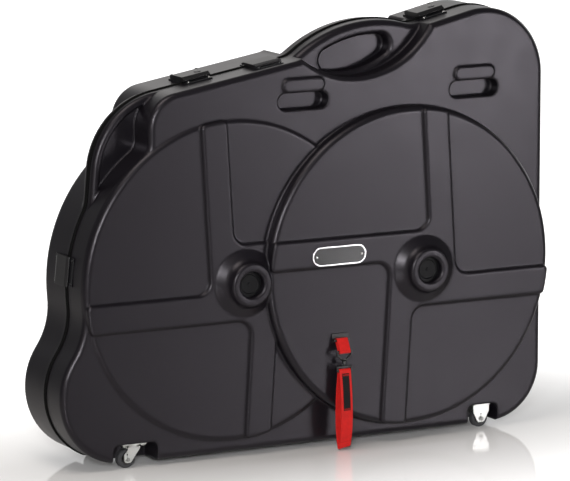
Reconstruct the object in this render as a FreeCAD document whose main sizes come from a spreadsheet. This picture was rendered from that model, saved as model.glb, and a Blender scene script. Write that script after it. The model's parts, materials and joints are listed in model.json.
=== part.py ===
# Hard bicycle travel case: two moulded half shells hinged along the bottom edge,
# four latches, two swivel and two rigid castors, a badge plate and a tow strap.
# X runs along the case, -Y is the front with the two wheel discs, Z is up, the floor is z = 0.
import FreeCAD, Part
import math
import os
import re
import Sketcher
from types import SimpleNamespace
from FreeCAD import Placement, Rotation, Vector

SIZES = {
    # Half shells and the seam between them; depths are taken from the seam plane
    "wall": 4,
    "seam_gap": 8,
    "front_depth": 80,
    "back_depth": 118,
    "crest_radius": 12,
    "back_crest_radius": 18,
    "flange_width": 14,
    "flange_depth": 8,
    "overrun": 20,
    # Outline seen from the front
    "end_margin": 52.5,
    "bottom_height": 12,
    "bulge_radius": 150,
    "waist_radius": 150,
    "neck_radius": 60,
    "shoulder_setback": 50,
    "shoulder_rise": 213,
    "shoulder_angle": 85,
    "shoulder_radius": 175,
    "top_margin": 115,
    "top_slope": 9.7,
    "arch_setback": 52.5,
    "arch_rise": 37,
    "arch_radius": 310,
    "crown_lead": 96.5,
    "crown_lift": 7.5,
    "crown_slope": 12.9,
    "crown_radius": 150,
    "heel_radius": 125,
    # Raised main panel and the scooped corner beside it
    "panel_setback": 158,
    "panel_notch_radius": 30,
    "panel_corner_radius": 75,
    "bead_height": 22,
    "bead_width": 16,
    "bead_crest_radius": 9,
    "scoop_floor": 9,
    # Carrying handle: a finger pocket under the arch
    "handle_setback": 117.5,
    "handle_centre_rise": 146,
    "handle_radius": 213,
    "grip_level": 40,
    "grip_crest_radius": 14,
    "grip_lap": 14,
    "grip_bar": 30,
    "pocket_shift": 18,
    "pocket_margin": 8,
    "pocket_tip_share": 0.36,
    "pocket_floor": 8,
    "pocket_flare": 7,
    "flare_lap": 0.5,
    # Wheel discs, their pinwheel arms and hub bosses
    "disc_radius": 352,
    "disc_margin": 23,
    "left_disc_depth": 85,
    "right_disc_depth": 109,
    "hub_shift": 28,
    "hub_drop": 5,
    "arm_width": 64,
    "arm_offset": 52,
    "arm_rise": 8,
    "arm_lean": 3.5,
    "arm_corner_radius": 30,
    "arm_end_radius": 10,
    "arm_crest_radius": 6,
    "arm_setback": 2,
    "disc_setback": 1,
    "boss_base_radius": 74,
    "boss_waist_radius": 52,
    "boss_top_radius": 46,
    "boss_recess_radius": 28,
    "boss_waist_height": 16,
    "hub_rise": 33,
    "boss_recess_depth": 20,
    "boss_edge_radius": 6,
    "boss_flare_radius": 18,
    "insert_thickness": 5,
    "insert_clearance": 0.4,
    "insert_ring": 6,
    "insert_screw_radius": 3.5,
    "insert_dish": 2,
    # Paired slots on the main panel: a raised pill over a recessed one
    "slot_lead": 174.5,
    "pill_lift": 60,
    "pill_length": 103,
    "pill_height": 31,
    "pill_rise": 6,
    "pill_crest_radius": 4,
    "recess_lift": 25,
    "recess_length": 123,
    "recess_height": 38,
    "recess_depth": 28,
    # Shallow stiffening panels in the back
    "back_panel_margin": 101,
    "back_panel_gap": 120,
    "back_panel_trim": 112,
    "back_panel_radius": 60,
    "back_panel_depth": 6,
    # Castor pockets in the bottom edge
    "swivel_inset": 173.25,
    "rigid_inset": 148.25,
    "castor_setback": 21,
    "castor_reach": 43,
    "pocket_roof": 54,
    "swivel_pocket_half": 53,
    "rigid_pocket_half": 38,
    "pocket_radius": 14,
    # Castors
    "wheel_radius": 20,
    "wheel_width": 18,
    "core_radius": 13,
    "tread_round": 3,
    "core_hub_radius": 6.5,
    "core_rim": 2.5,
    "core_web": 5,
    "core_play": 0.4,
    "axle_radius": 3,
    "axle_clearance": 0.05,
    "axle_head_radius": 5,
    "axle_head": 2.5,
    "plate_thickness": 3,
    "plate_length": 60,
    "plate_width": 38,
    "plate_corner_radius": 6,
    "race_radius": 15,
    "race_height": 4,
    "king_radius": 5,
    "king_head_radius": 8,
    "king_head": 2,
    "king_play": 0.3,
    "fork_metal": 2.5,
    "fork_gap": 22,
    "fork_half": 14,
    "fork_drop": 5,
    "fork_foot": 8,
    "fork_foot_radius": 7,
    "fork_hole_rise": 10,
    "fork_hole_radius": 2,
    "trail": 16,
    "bracket_half": 20,
    "bracket_crease": 36,
    "crease_step": 0.8,
    "bracket_plate_length": 46,
    # Hinges under the seam
    "hinge_place": 220,
    "hinge_half": 36,
    "hinge_drop": 4.5,
    "knuckle_radius": 4,
    "knuckle_gap": 0.4,
    "hinge_pin_radius": 2,
    "hinge_pin_clearance": 0.05,
    "leaf_metal": 2,
    "leaf_width": 34,
    "leaf_relief": 4.6,
    # Latches
    "latch_left_setback": 46.25,
    "latch_middle_setback": 266.75,
    "latch_right_lead": 10.25,
    "latch_side_angle": 173.8,
    "latch_seat": 0.1,
    "low_latch_share": 0.55,
    "lever_half": 32,
    "lever_play": 0.4,
    "lever_lap": 14,
    "lever_floor": 3.5,
    "lever_top": 14,
    "lever_nose": 9,
    "lever_slope": 8,
    "lever_edge_radius": 2.5,
    "latch_base_start": 8,
    "latch_base_metal": 3,
    "latch_apron": 9,
    "latch_lug": 4,
    "latch_lug_half": 6,
    "latch_pin_reach": 46,
    "latch_pin_height": 8.2,
    "latch_pin_radius": 2,
    "latch_pin_clearance": 0.05,
    "latch_heel_radius": 4.4,
    "keeper_start": 7,
    "keeper_end": 27,
    "keeper_metal": 2.6,
    "keeper_half": 31,
    "lock_radius": 7.5,
    "lock_place": 16,
    "lock_reach": 14,
    "lock_depth": 5,
    "lock_rise": 1.2,
    "lock_clearance": 0.05,
    "key_slot_half": 4,
    "key_slot_width": 1.6,
    "key_slot_depth": 2,
    # Bare badge plate on the right disc
    "badge_setback": 211.25,
    "badge_drop": 6,
    "badge_length": 132,
    "badge_width": 42,
    "badge_metal": 2.5,
    "badge_border": 3,
    "badge_sink": 0.8,
    # Tow strap on the right disc
    "strap_setback": 177.25,
    "anchor_drop": 146,
    "anchor_plate_half": 20,
    "anchor_plate_rise": 14,
    "anchor_plate_drop": 6,
    "anchor_metal": 3,
    "anchor_bar_radius": 2.5,
    "anchor_standoff": 9,
    "webbing_width": 27,
    "webbing_thickness": 2,
    "webbing_clearance": 0.4,
    "strap_standoff": 21.5,
    "hook_drop": 23,
    "hook_half": 19,
    "hook_ring_height": 16,
    "hook_metal": 4,
    "hook_shoulder": 9,
    "eye_shoulder": 1,
    "hook_corner_radius": 2,
    "hook_bar_round": 2.4,
    "barrel_height": 10,
    "barrel_radius": 5,
    "stem_radius": 2.5,
    "stem_clearance": 0.05,
    "stem_gap": 0.4,
    "stem_insert": 8,
    "eye_height": 8,
    "loop_width": 28,
    "loop_bulge": 14,
    "loop_ground_gap": 5,
    # Seal and foam
    "seal_proud": 3,
    "seal_width": 15,
    "seal_clearance": 0.3,
    "foam_thickness": 10,
    "foam_margin": 8,
    "foam_seat": 0.3,
}
TOLERANCE = 0.001
FRONT = -1
BACK = 1

doc = FreeCAD.newDocument("TravelCase")
sheet = doc.addObject("Spreadsheet::Sheet", "Sizes")
for row, (alias, number) in enumerate(SIZES.items(), 1):
    sheet.set(f"A{row}", alias)
    sheet.set(f"B{row}", str(number))
    sheet.setAlias(f"B{row}", alias)
doc.recompute()
s = SimpleNamespace(**{alias: float(sheet.get(alias)) for alias in SIZES})
parts = []


# Expressions on the sheet

def cells(text):
    """Name the sheet in front of every alias of an expression."""
    def full(match):
        word = match.group()
        return f"Sizes.{word}" if word in SIZES else word
    return re.sub(r"[a-z_]+", full, text)


def worth(text):
    """The present value of an expression."""
    return float(sheet.evalExpression(cells(text)))


def bind(thing, **expressions):
    """Tie properties of a document object to expressions on the sheet."""
    for name, text in expressions.items():
        thing.setExpression(name.replace("__", "."), cells(text))


SEAM = "((right_disc_depth + arm_rise + hub_rise - back_depth) / 2)"
DISC_SPACING = "(disc_radius + boss_base_radius)"
HALF_LENGTH = f"((end_margin + {DISC_SPACING}) / 2 + disc_radius)"
LEFT_DISC = f"(end_margin + disc_radius - {HALF_LENGTH})"
RIGHT_DISC = f"({HALF_LENGTH} - disc_radius)"
DISC_HEIGHT = "(bottom_height + disc_margin + disc_radius)"
HUB_HEIGHT = f"({DISC_HEIGHT} - hub_drop)"
TOP = f"({DISC_HEIGHT} + disc_radius + top_margin)"
ARCH = f"({RIGHT_DISC} - arch_setback)"
CROWN = f"({RIGHT_DISC} + crown_lead)"
SWIVEL = f"(swivel_inset - {HALF_LENGTH})"
RIGID = f"({HALF_LENGTH} - rigid_inset)"


def place(thing, x="0", y="0", z="0", lean=None):
    """Put a piece at x, y, z, leaned by an angle about the negative Y axis."""
    bind(thing, Placement__Base__x=x, Placement__Base__y=f"{SEAM} + {y}", Placement__Base__z=z)
    if lean:
        bind(thing, Placement__Rotation__Axis__x="0", Placement__Rotation__Axis__y="-1")
        bind(thing, Placement__Rotation__Axis__z="0", Placement__Rotation__Angle=lean)


def keep(thing, label):
    """Name a finished piece, which also names its file."""
    thing.Label = label
    parts.append(thing)
    return thing


# Sketches and features of a body

def new_body(label, **where):
    body = keep(doc.addObject("PartDesign::Body", label), label)
    place(body, **where)
    return body


def new_sketch(body, plane, offset="0"):
    sketch = body.newObject("Sketcher::SketchObject", "Sketch")
    support = next(f for f in body.Origin.OriginFeatures if f.Role == plane)
    sketch.AttachmentSupport = [(support, "")]
    sketch.MapMode = "FlatFace"
    bind(sketch, AttachmentOffset__Base__z=offset)
    return sketch


def draw_lines(sketch, points):
    """A closed run of lines through points given as pairs of expressions."""
    first = sketch.GeometryCount
    spots = [Vector(worth(across), worth(up), 0) for across, up in points]
    for number, spot in enumerate(spots):
        sketch.addGeometry(Part.LineSegment(spot, spots[(number + 1) % len(spots)]))
    for number, (across, up) in enumerate(points):
        line = first + number
        following = first + (number + 1) % len(points)
        sketch.addConstraint(Sketcher.Constraint("Coincident", line, 2, following, 1))
        for kind, text in (("DistanceX", across), ("DistanceY", up)):
            rule = sketch.addConstraint(Sketcher.Constraint(kind, -1, 1, line, 1, worth(text)))
            sketch.setExpression(f"Constraints[{rule}]", cells(text))


def draw_circle(sketch, across, up, radius):
    centre = Vector(worth(across), worth(up), 0)
    circle = sketch.addGeometry(Part.Circle(centre, Vector(0, 0, 1), worth(radius)))
    middle = (-1, 1, circle, 3)
    for kind, ends, text in (("DistanceX", middle, across), ("DistanceY", middle, up),
                             ("Radius", (circle,), radius)):
        rule = sketch.addConstraint(Sketcher.Constraint(kind, *ends, worth(text)))
        sketch.setExpression(f"Constraints[{rule}]", cells(text))


def draw_pill(sketch, half_length, half_height):
    """A slot with round ends, centred on the sketch origin."""
    centre = f"({half_length} - {half_height})"
    radius = worth(half_height)
    for hand, text in ((1, centre), (-1, f"-{centre}")):
        circle = Part.Circle(Vector(worth(text), 0, 0), Vector(0, 0, 1), radius)
        sketch.addGeometry(Part.ArcOfCircle(circle, -hand * math.pi / 2, math.pi - hand * math.pi / 2))
    for hand in (1, -1):
        start = Vector(hand * worth(centre), hand * radius, 0)
        end = Vector(-hand * worth(centre), hand * radius, 0)
        sketch.addGeometry(Part.LineSegment(start, end))
    for first, second in ((0, 2), (2, 1), (1, 3), (3, 0)):
        sketch.addConstraint(Sketcher.Constraint("Tangent", first, 2, second, 1))
    for arc, text in ((0, centre), (1, f"-{centre}")):
        for kind, distance in (("DistanceX", text), ("DistanceY", "0")):
            rule = sketch.addConstraint(Sketcher.Constraint(kind, -1, 1, arc, 3, worth(distance)))
            sketch.setExpression(f"Constraints[{rule}]", cells(distance))
    rule = sketch.addConstraint(Sketcher.Constraint("Radius", 0, radius))
    sketch.setExpression(f"Constraints[{rule}]", cells(half_height))


def rectangle(low_across, high_across, low_up, high_up):
    return [(low_across, low_up), (high_across, low_up), (high_across, high_up), (low_across, high_up)]


def extrude(body, kind, sketch, length, both_ways=False, backwards=False):
    """A Pad or a Pocket of a sketch."""
    feature = body.newObject(f"PartDesign::{kind}", kind)
    feature.Profile = sketch
    feature.SideType = "Symmetric" if both_ways else "One side"
    feature.Reversed = backwards
    bind(feature, Length=length)
    return feature


def revolve(body, sketch, axis):
    feature = body.newObject("PartDesign::Revolution", "Revolution")
    feature.Profile = sketch
    feature.ReferenceAxis = (sketch, [axis])
    feature.Angle = 360
    return feature


def soften(body, feature, radius, chosen):
    """Round the edges of a feature that a test picks."""
    doc.recompute()
    names = [f"Edge{n}" for n, edge in enumerate(feature.Shape.Edges, 1) if chosen(edge)]
    fillet = body.newObject("PartDesign::Fillet", "Fillet")
    fillet.Base = (feature, names)
    bind(fillet, Radius=radius)
    return fillet


def runs_along(axis):
    """A test for straight edges parallel to an axis."""
    def test(edge):
        way = edge.tangentAt(edge.FirstParameter)
        return isinstance(edge.Curve, Part.Line) and abs(abs(way.dot(axis)) - 1) < TOLERANCE
    return test


# Primitives bound to the sheet

def block(x, y, z):
    """A box between pairs of expressions along each axis."""
    box = doc.addObject("Part::Box", "Block")
    bind(box, Length=f"{x[1]} - ({x[0]})", Width=f"{y[1]} - ({y[0]})", Height=f"{z[1]} - ({z[0]})")
    bind(box, Placement__Base__x=x[0], Placement__Base__y=y[0], Placement__Base__z=z[0])
    return box


def bar(radius, x, y, z):
    """A round bar along X between a pair of expressions."""
    cylinder = doc.addObject("Part::Cylinder", "Bar")
    cylinder.Placement = Placement(Vector(), Rotation(Vector(0, 1, 0), 90))
    bind(cylinder, Radius=radius, Height=f"{x[1]} - ({x[0]})")
    bind(cylinder, Placement__Base__x=x[0], Placement__Base__y=y, Placement__Base__z=z)
    return cylinder


def joined(label, solids, holes=(), **where):
    """One piece from overlapping primitives, less its holes."""
    whole = doc.addObject("Part::MultiFuse", "Blank")
    whole.Shapes = solids
    whole.Refine = True
    for hole in holes:
        cut = doc.addObject("Part::Cut", "Bored")
        cut.Base = whole
        cut.Tool = hole
        whole = cut
    keep(whole, label)
    place(whole, **where)
    return whole


def moulded(label, shape):
    """A piece whose form comes from the shell outlines, set at the seam."""
    piece = keep(doc.addObject("Part::Feature", label), label)
    piece.Shape = shape
    piece.Placement = Placement(Vector(0, worth(SEAM), 0), Rotation())
    return piece


# Outlines in the XZ plane, as lines followed clockwise and rounded where they meet

def heading(angle):
    turn = math.radians(angle)
    return Vector(math.cos(turn), 0, math.sin(turn))


def direction(way):
    return math.degrees(math.atan2(way.z, way.x))


def tangent(centre, radius, angle):
    """The clockwise tangent line of a circle at an angle."""
    return centre + heading(angle) * radius, heading(angle - 90)


def crossing(first, second):
    """The point where two lines meet."""
    (start, way), (other, across) = first, second
    gap = other - start
    spread = way.x * across.z - way.z * across.x
    return start + way * ((gap.x * across.z - gap.z * across.x) / spread)


def rounded_wire(lines, radii, inset=0):
    """A closed wire along lines, moved inwards by an inset, with a radius at the end of each line."""
    moved = [(start + Vector(way.z, 0, -way.x) * inset, way) for start, way in lines]
    bends = []
    for number, line in enumerate(moved):
        following = moved[(number + 1) % len(moved)]
        into, out = line[1], following[1]
        turn = math.atan2(into.x * out.z - into.z * out.x, into.dot(out))
        radius = radii[number] + math.copysign(inset, turn) if radii[number] else 0
        corner = crossing(line, following)
        half = abs(turn) / 2
        bends.append(SimpleNamespace(corner=corner, radius=radius, half=half, into=into, out=out))
    for number, bend in enumerate(bends):
        other = bends[(number + 1) % len(bends)]
        room = (other.corner - bend.corner).Length
        tight, wide = sorted((bend, other), key=lambda b: b.radius)
        spare = room - wide.radius * math.tan(wide.half)
        tight.radius = min(tight.radius, spare / math.tan(tight.half))
    edges = []
    for number, bend in enumerate(bends):
        last = bends[number - 1]
        start = last.corner + last.out * (last.radius * math.tan(last.half))
        end = bend.corner - bend.into * (bend.radius * math.tan(bend.half))
        if (end - start).Length > TOLERANCE:
            edges.append(Part.LineSegment(start, end).toShape())
        if bend.radius:
            inwards = (bend.out - bend.into).normalize()
            middle = bend.corner + inwards * (bend.radius / math.cos(bend.half) - bend.radius)
            far = bend.corner + bend.out * (bend.radius * math.tan(bend.half))
            edges.append(Part.Arc(end, middle, far).toShape())
    return Part.Wire(edges)


def between(first, first_radius, second, second_radius, bend):
    """The tangents of two circles where a hollow bend leads from the first to the second."""
    gap = second - first
    near, far = first_radius + bend, second_radius + bend
    share = (near * near + gap.dot(gap) - far * far) / (2 * near * gap.Length)
    leaving = direction(gap) + math.degrees(math.acos(share))
    arriving = direction(first + heading(leaving) * near - second)
    return [tangent(first, first_radius, leaving), tangent(second, second_radius, arriving)]


def beside(centre, radius, line, bend, ahead):
    """The tangent of a circle where a hollow bend joins it to the line ahead of it or behind it."""
    start, way = line
    offset = start + Vector(-way.z, 0, way.x) * bend - centre
    lead = offset.dot(way)
    reach = math.sqrt(lead * lead - offset.dot(offset) + (radius + bend) ** 2)
    return tangent(centre, radius, direction(offset + way * ((reach if ahead else -reach) - lead)))


half_length = worth(HALF_LENGTH)
left_disc = Vector(worth(LEFT_DISC), 0, worth(DISC_HEIGHT))
right_disc = Vector(worth(RIGHT_DISC), 0, worth(DISC_HEIGHT))


def on_top(x, lift):
    """A point over the sloping top edge at a place along the case."""
    return Vector(x, 0, worth(TOP) + x * math.tan(math.radians(s.top_slope)) + lift)


bulge = Vector(s.bulge_radius - half_length, 0, s.bottom_height + s.bulge_radius)
arch = on_top(worth(ARCH), s.arch_rise - s.arch_radius)
handle = on_top(right_disc.x - s.handle_setback, s.handle_centre_rise)
shoulder = left_disc + Vector(s.shoulder_setback - s.disc_radius, 0, s.shoulder_rise)
BOTTOM_LINE = (Vector(0, 0, s.bottom_height), heading(180))
SHOULDER_LINE = (shoulder, heading(s.shoulder_angle))
PANEL_LINE = (left_disc + Vector(s.panel_setback - s.disc_radius, 0, 0), heading(90))
TOP_LINE = (on_top(0, 0), heading(s.top_slope))
CROWN_LINE = (on_top(worth(CROWN), s.crown_lift), heading(s.crown_slope))
END_LINE = (Vector(half_length, 0, 0), heading(-90))
LOWER_LINES = [BOTTOM_LINE] + between(bulge, s.bulge_radius, left_disc, s.disc_radius, s.waist_radius)
UPPER_LINES = [TOP_LINE, beside(arch, s.arch_radius, TOP_LINE, s.neck_radius, False),
               beside(arch, s.arch_radius, CROWN_LINE, s.neck_radius, True), CROWN_LINE, END_LINE]
LOWER_RADII = [s.bulge_radius, s.waist_radius, s.disc_radius]
UPPER_RADII = [s.neck_radius, s.arch_radius, s.neck_radius, s.crown_radius, s.heel_radius]


def outline(line, bend, radius, inset):
    """The outline of the case, with a line and its two radii at the left end above the disc."""
    corner = [beside(left_disc, s.disc_radius, line, bend, True), line]
    radii = LOWER_RADII + [bend, radius] + UPPER_RADII
    return rounded_wire(LOWER_LINES + corner + UPPER_LINES, radii, inset)


def case_wire(inset):
    """The full outline of the case at the seam."""
    return outline(SHOULDER_LINE, s.neck_radius, s.shoulder_radius, inset)


def panel_wire(inset):
    """The raised main panel, which leaves out the scooped corner."""
    return outline(PANEL_LINE, s.panel_notch_radius, s.panel_corner_radius, inset)


def rounded_box(centre, half_length, half_height, radius, inset=0):
    """A rectangle with rounded corners, grown where the inset is negative."""
    lines = [(centre - Vector(0, 0, half_height), heading(180)),
             (centre - Vector(half_length, 0, 0), heading(90)),
             (centre + Vector(0, 0, half_height), heading(0)),
             (centre + Vector(half_length, 0, 0), heading(-90))]
    return rounded_wire(lines, [radius] * len(lines), inset)


def pinwheel_wire(hub, hand, inset):
    """Four arms set beside the hub like a pinwheel; hand says to which side."""
    sides = []
    for aim in (90 + s.arm_lean, 0, -90 - s.arm_lean, 180):
        way = heading(aim)
        left = Vector(-way.z, 0, way.x)
        middle = hub - left * (hand * s.arm_offset)
        sides.append((way, middle + left * (s.arm_width / 2), middle - left * (s.arm_width / 2)))
    reach = 2 * s.disc_radius
    lines = []
    radii = []
    for way, upper, lower in sides:
        lines += [(upper, way), (hub + way * reach, Vector(way.z, 0, -way.x)), (lower, -way)]
        radii += [0, 0, s.arm_corner_radius]
    return rounded_wire(lines, radii, inset)


# Solids grown from those outlines; side is FRONT or BACK of the seam plane

def prism(wire, near, far, side):
    face = Part.Face(wire)
    face.translate(Vector(0, side * near, 0))
    return face.extrude(Vector(0, side * (far - near), 0))


def rod(centre, radius, near, far, side):
    return Part.makeCylinder(radius, far - near, centre + Vector(0, side * near, 0), Vector(0, side, 0))


def turned_rod(centre, radius, near, level, bend, side, over=0):
    """A round solid whose rim bends outwards below a level, or inwards where the bend is negative."""
    curve = abs(bend)
    drop = curve * (1 - math.sqrt(1 / 2))
    foot, corner = Vector(0, 0, near), Vector(radius, 0, near)
    start = Vector(radius, 0, level - curve)
    middle = Vector(radius + math.copysign(drop, bend), 0, level - drop)
    rim = Vector(radius + bend, 0, level)
    top = Vector(0, 0, level + over)
    edges = [Part.LineSegment(foot, corner), Part.LineSegment(corner, start),
             Part.Arc(start, middle, rim)]
    if over:
        lip = rim + Vector(0, 0, over)
        edges.append(Part.LineSegment(rim, lip))
        rim = lip
    edges += [Part.LineSegment(rim, top), Part.LineSegment(top, foot)]
    return turned(Part.Wire([edge.toShape() for edge in edges]), centre, side)


def turned(wire, centre, side):
    """A profile in the XZ plane, turned about Z and laid with its Z away from the seam."""
    solid = Part.Face(wire).revolve(Vector(), Vector(0, 0, 1), 360)
    solid.rotate(Vector(), Vector(1, 0, 0), -90 * side)
    solid.translate(centre)
    return solid


def united(solids):
    whole = solids[0]
    for solid in solids[1:]:
        whole = whole.fuse(solid)
    return whole


def less(solid, tools):
    for tool in tools:
        solid = solid.cut(tool)
    return solid


def crest(solid, level, radius, side):
    """Round the outer edges that lie at a level."""
    rims = [edge for edge in solid.Edges
            if all(abs(v.Y - side * level) < TOLERANCE for v in edge.Vertexes)
            and abs(edge.CenterOfMass.y - side * level) < TOLERANCE]
    return solid.makeFillet(radius, rims)


def beaded_tray(side):
    """The rim of a half shell: a rounded bead along the outline round a shallow floor."""
    bead = prism(case_wire(0), s.seam_gap / 2, s.bead_height, side)
    bead = crest(bead, s.bead_height, s.bead_crest_radius, side)
    hollow = prism(case_wire(s.bead_width), s.scoop_floor, s.bead_height + s.overrun, side)
    return bead.cut(hollow)


def eye_wire(grow):
    """Two arcs that face each other, one under the grip bar and one over the panel, with round tips."""
    scoop = handle - Vector(s.pocket_shift, 0, 0)
    gap = scoop - arch
    arch_reach = s.arch_radius - s.grip_bar
    scoop_reach = s.handle_radius - s.pocket_margin
    tip = (arch_reach + scoop_reach - gap.Length) * s.pocket_tip_share
    near, far = arch_reach - tip, scoop_reach - tip
    share = (near * near + gap.dot(gap) - far * far) / (2 * near * gap.Length)
    spread = math.degrees(math.acos(share))
    tips = [arch + heading(direction(gap) + hand * spread) * near for hand in (1, -1)]
    upper = [arch + heading(direction(spot - arch)) * (arch_reach + grow) for spot in tips]
    lower = [scoop + heading(direction(spot - scoop)) * (scoop_reach + grow) for spot in tips]
    way = gap.normalize()
    top = arch + way * (arch_reach + grow)
    bottom = scoop - way * (scoop_reach + grow)
    outwards = (tips[0] - tips[1]).normalize() * (tip + grow)
    arcs = [Part.Arc(lower[0], tips[0] + outwards, upper[0]), Part.Arc(upper[0], top, upper[1]),
            Part.Arc(upper[1], tips[1] - outwards, lower[1]), Part.Arc(lower[1], bottom, lower[0])]
    return Part.Wire([arc.toShape() for arc in arcs])


def finger_pocket(side, depth, grow):
    """The eye-shaped pocket behind the grip bar, flared at its mouth."""
    well = prism(eye_wire(grow), s.pocket_floor - grow, depth + s.overrun, side)
    mouth = s.grip_level - grow
    rims = [eye_wire(grow), eye_wire(grow + s.pocket_flare + s.flare_lap)]
    for rim, level in zip(rims, (mouth - s.pocket_flare, mouth + s.flare_lap)):
        rim.translate(Vector(0, side * level, 0))
    return well.fuse(Part.makeLoft(rims, True, True))


def castor_pockets(side, depth, grow):
    """Pockets in the bottom edge, open below and towards the face."""
    tools = []
    near = depth - s.castor_setback - s.castor_reach - grow
    for x, half in ((worth(SWIVEL), s.swivel_pocket_half), (worth(RIGID), s.rigid_pocket_half)):
        wire = rounded_box(Vector(x, 0, 0), half, s.pocket_roof, s.pocket_radius, -grow)
        tools.append(prism(wire, near, depth + s.overrun, side))
    return tools


def base_form(side, depth, crest_radius, inset):
    """Rim, main panel and grip of one half; with an inset, the room inside them."""
    outer = inset == 0
    near = s.seam_gap / 2 if outer else 0
    level, bend = depth - inset, crest_radius - inset
    body = crest(prism(panel_wire(inset), near, level, side), level, bend, side)
    body = body.cut(turned_rod(handle, s.handle_radius + inset, -s.overrun, level, bend, side, s.overrun))
    grip = prism(case_wire(inset), near, s.grip_level - inset, side)
    grip = crest(grip, s.grip_level - inset, s.grip_crest_radius - inset, side)
    tray = beaded_tray(side) if outer else prism(case_wire(inset), near, s.scoop_floor - inset, side)
    lapped = rod(handle, s.handle_radius + inset + s.grip_lap, -s.overrun, depth + s.overrun, side)
    return united([tray, body, grip.common(lapped)])


def boss_form(hub, level, inset):
    """A hub boss, turned about the hub axis, with its recess."""
    top = s.hub_rise - inset
    floor = top - s.boss_recess_depth
    base = s.boss_base_radius - inset
    recess = s.boss_recess_radius + inset
    corners = [(0, -s.overrun), (base, -s.overrun), (base, -inset / 2),
               (s.boss_waist_radius - inset, s.boss_waist_height - inset / 2),
               (s.boss_top_radius - inset, top), (recess, top), (recess, floor), (0, floor)]
    radii = [0, 0, 0, s.boss_flare_radius, s.boss_edge_radius, s.boss_edge_radius, 0, 0]
    spots = [Vector(radius, 0, height) for radius, height in corners]
    lines = []
    for number, spot in enumerate(spots):
        lines.append((spot, (spots[(number + 1) % len(spots)] - spot).normalize()))
    return turned(rounded_wire(lines, radii[1:] + radii[:1]), hub + Vector(0, -level, 0), FRONT)


def on_rim(edge, centre, radius):
    """Whether an upright edge stands at a radius round a centre."""
    spot = edge.CenterOfMass - centre
    return abs(math.hypot(spot.x, spot.z) - radius) < TOLERANCE


def wheel_disc(centre, depth, hand, inset):
    """A round disc with its pinwheel arms and hub boss; with an inset, the room inside them."""
    hub = centre + Vector(s.hub_shift, 0, -s.hub_drop)
    level = depth + s.arm_rise
    near = s.seam_gap / 2 if inset == 0 else 0
    reach = s.disc_radius - s.disc_setback - inset
    disc = turned_rod(centre, reach, near, depth - inset, inset - s.crest_radius, FRONT)
    arms = prism(pinwheel_wire(hub, hand, inset), near, level - inset, FRONT)
    arms = arms.common(rod(centre, reach - s.arm_setback, near, level, FRONT))
    upright = runs_along(Vector(0, 1, 0))
    ends = [edge for edge in arms.Edges if upright(edge) and on_rim(edge, centre, reach - s.arm_setback)]
    arms = arms.makeFillet(s.arm_end_radius - inset, ends)
    if inset == 0:
        arms = crest(arms, level, s.arm_crest_radius, FRONT)
    return united([disc, arms, boss_form(hub, level, inset)])


def slot_centres(lift):
    return [centre + Vector(s.slot_lead, 0, s.disc_radius + lift) for centre in (left_disc, right_disc)]


def slot_recesses(grow):
    near = s.front_depth - s.recess_depth - grow
    half = s.recess_height / 2
    tools = []
    for spot in slot_centres(s.recess_lift):
        wire = rounded_box(spot, s.recess_length / 2, half, half - TOLERANCE, -grow)
        tools.append(prism(wire, near, s.front_depth + s.overrun, FRONT))
    return tools


def slot_pills():
    half = s.pill_height / 2
    level = s.front_depth + s.pill_rise
    pills = []
    for spot in slot_centres(s.pill_lift):
        wire = rounded_box(spot, s.pill_length / 2, half, half - TOLERANCE)
        pills.append(crest(prism(wire, s.seam_gap, level, FRONT), level, s.pill_crest_radius, FRONT))
    return pills


def rim_flange(side):
    """The inner flange that the seal bears on."""
    near = s.seam_gap / 2
    far = near + s.flange_depth
    outer = prism(case_wire(s.wall / 2), near, far, side)
    return outer.cut(prism(case_wire(s.flange_width), near, far, side))


def front_form(inset):
    whole = base_form(FRONT, s.front_depth, s.crest_radius, inset)
    left = wheel_disc(left_disc, s.left_disc_depth, -1, inset)
    right = wheel_disc(right_disc, s.right_disc_depth, 1, inset)
    pills = slot_pills() if inset == 0 else []
    whole = united([whole, left, right] + pills)
    holes = slot_recesses(inset) + castor_pockets(FRONT, s.front_depth, inset)
    return less(whole, holes + [finger_pocket(FRONT, s.front_depth, inset)])


def back_form(inset):
    whole = base_form(BACK, s.back_depth, s.back_crest_radius, inset)
    holes = castor_pockets(BACK, s.back_depth, inset) + [finger_pocket(BACK, s.back_depth, inset)]
    floor = s.back_depth - s.back_panel_depth - inset
    half = (half_length - s.back_panel_margin - s.back_panel_gap / 2) / 2
    for hand in (-1, 1):
        centre = Vector(hand * (half + s.back_panel_gap / 2), 0, left_disc.z)
        wire = rounded_box(centre, half, s.disc_radius - s.back_panel_trim, s.back_panel_radius, -inset)
        holes.append(prism(wire, floor, s.back_depth + s.overrun, BACK))
    return less(whole, holes)


def make_shells():
    for label, form, side in (("front_shell", front_form, FRONT), ("back_shell", back_form, BACK)):
        wall = form(0).cut(form(s.wall))
        moulded(label, wall.fuse(rim_flange(side)).removeSplitter())


def make_seal():
    """A rubber ring on the back flange, proud of the rims but cut flush over the hinges."""
    near = s.seam_gap / 2
    far = s.seal_clearance - near
    outer = prism(case_wire(-s.seal_proud), near, far, BACK)
    inner = prism(case_wire(s.seal_width - s.seal_proud), near, far, BACK)
    reach = half_length + s.overrun
    below = prism(rounded_box(Vector(), reach, s.bottom_height + s.seal_clearance, 0), near, far, BACK)
    moulded("seam_seal", less(outer, [inner, below]))


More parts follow.
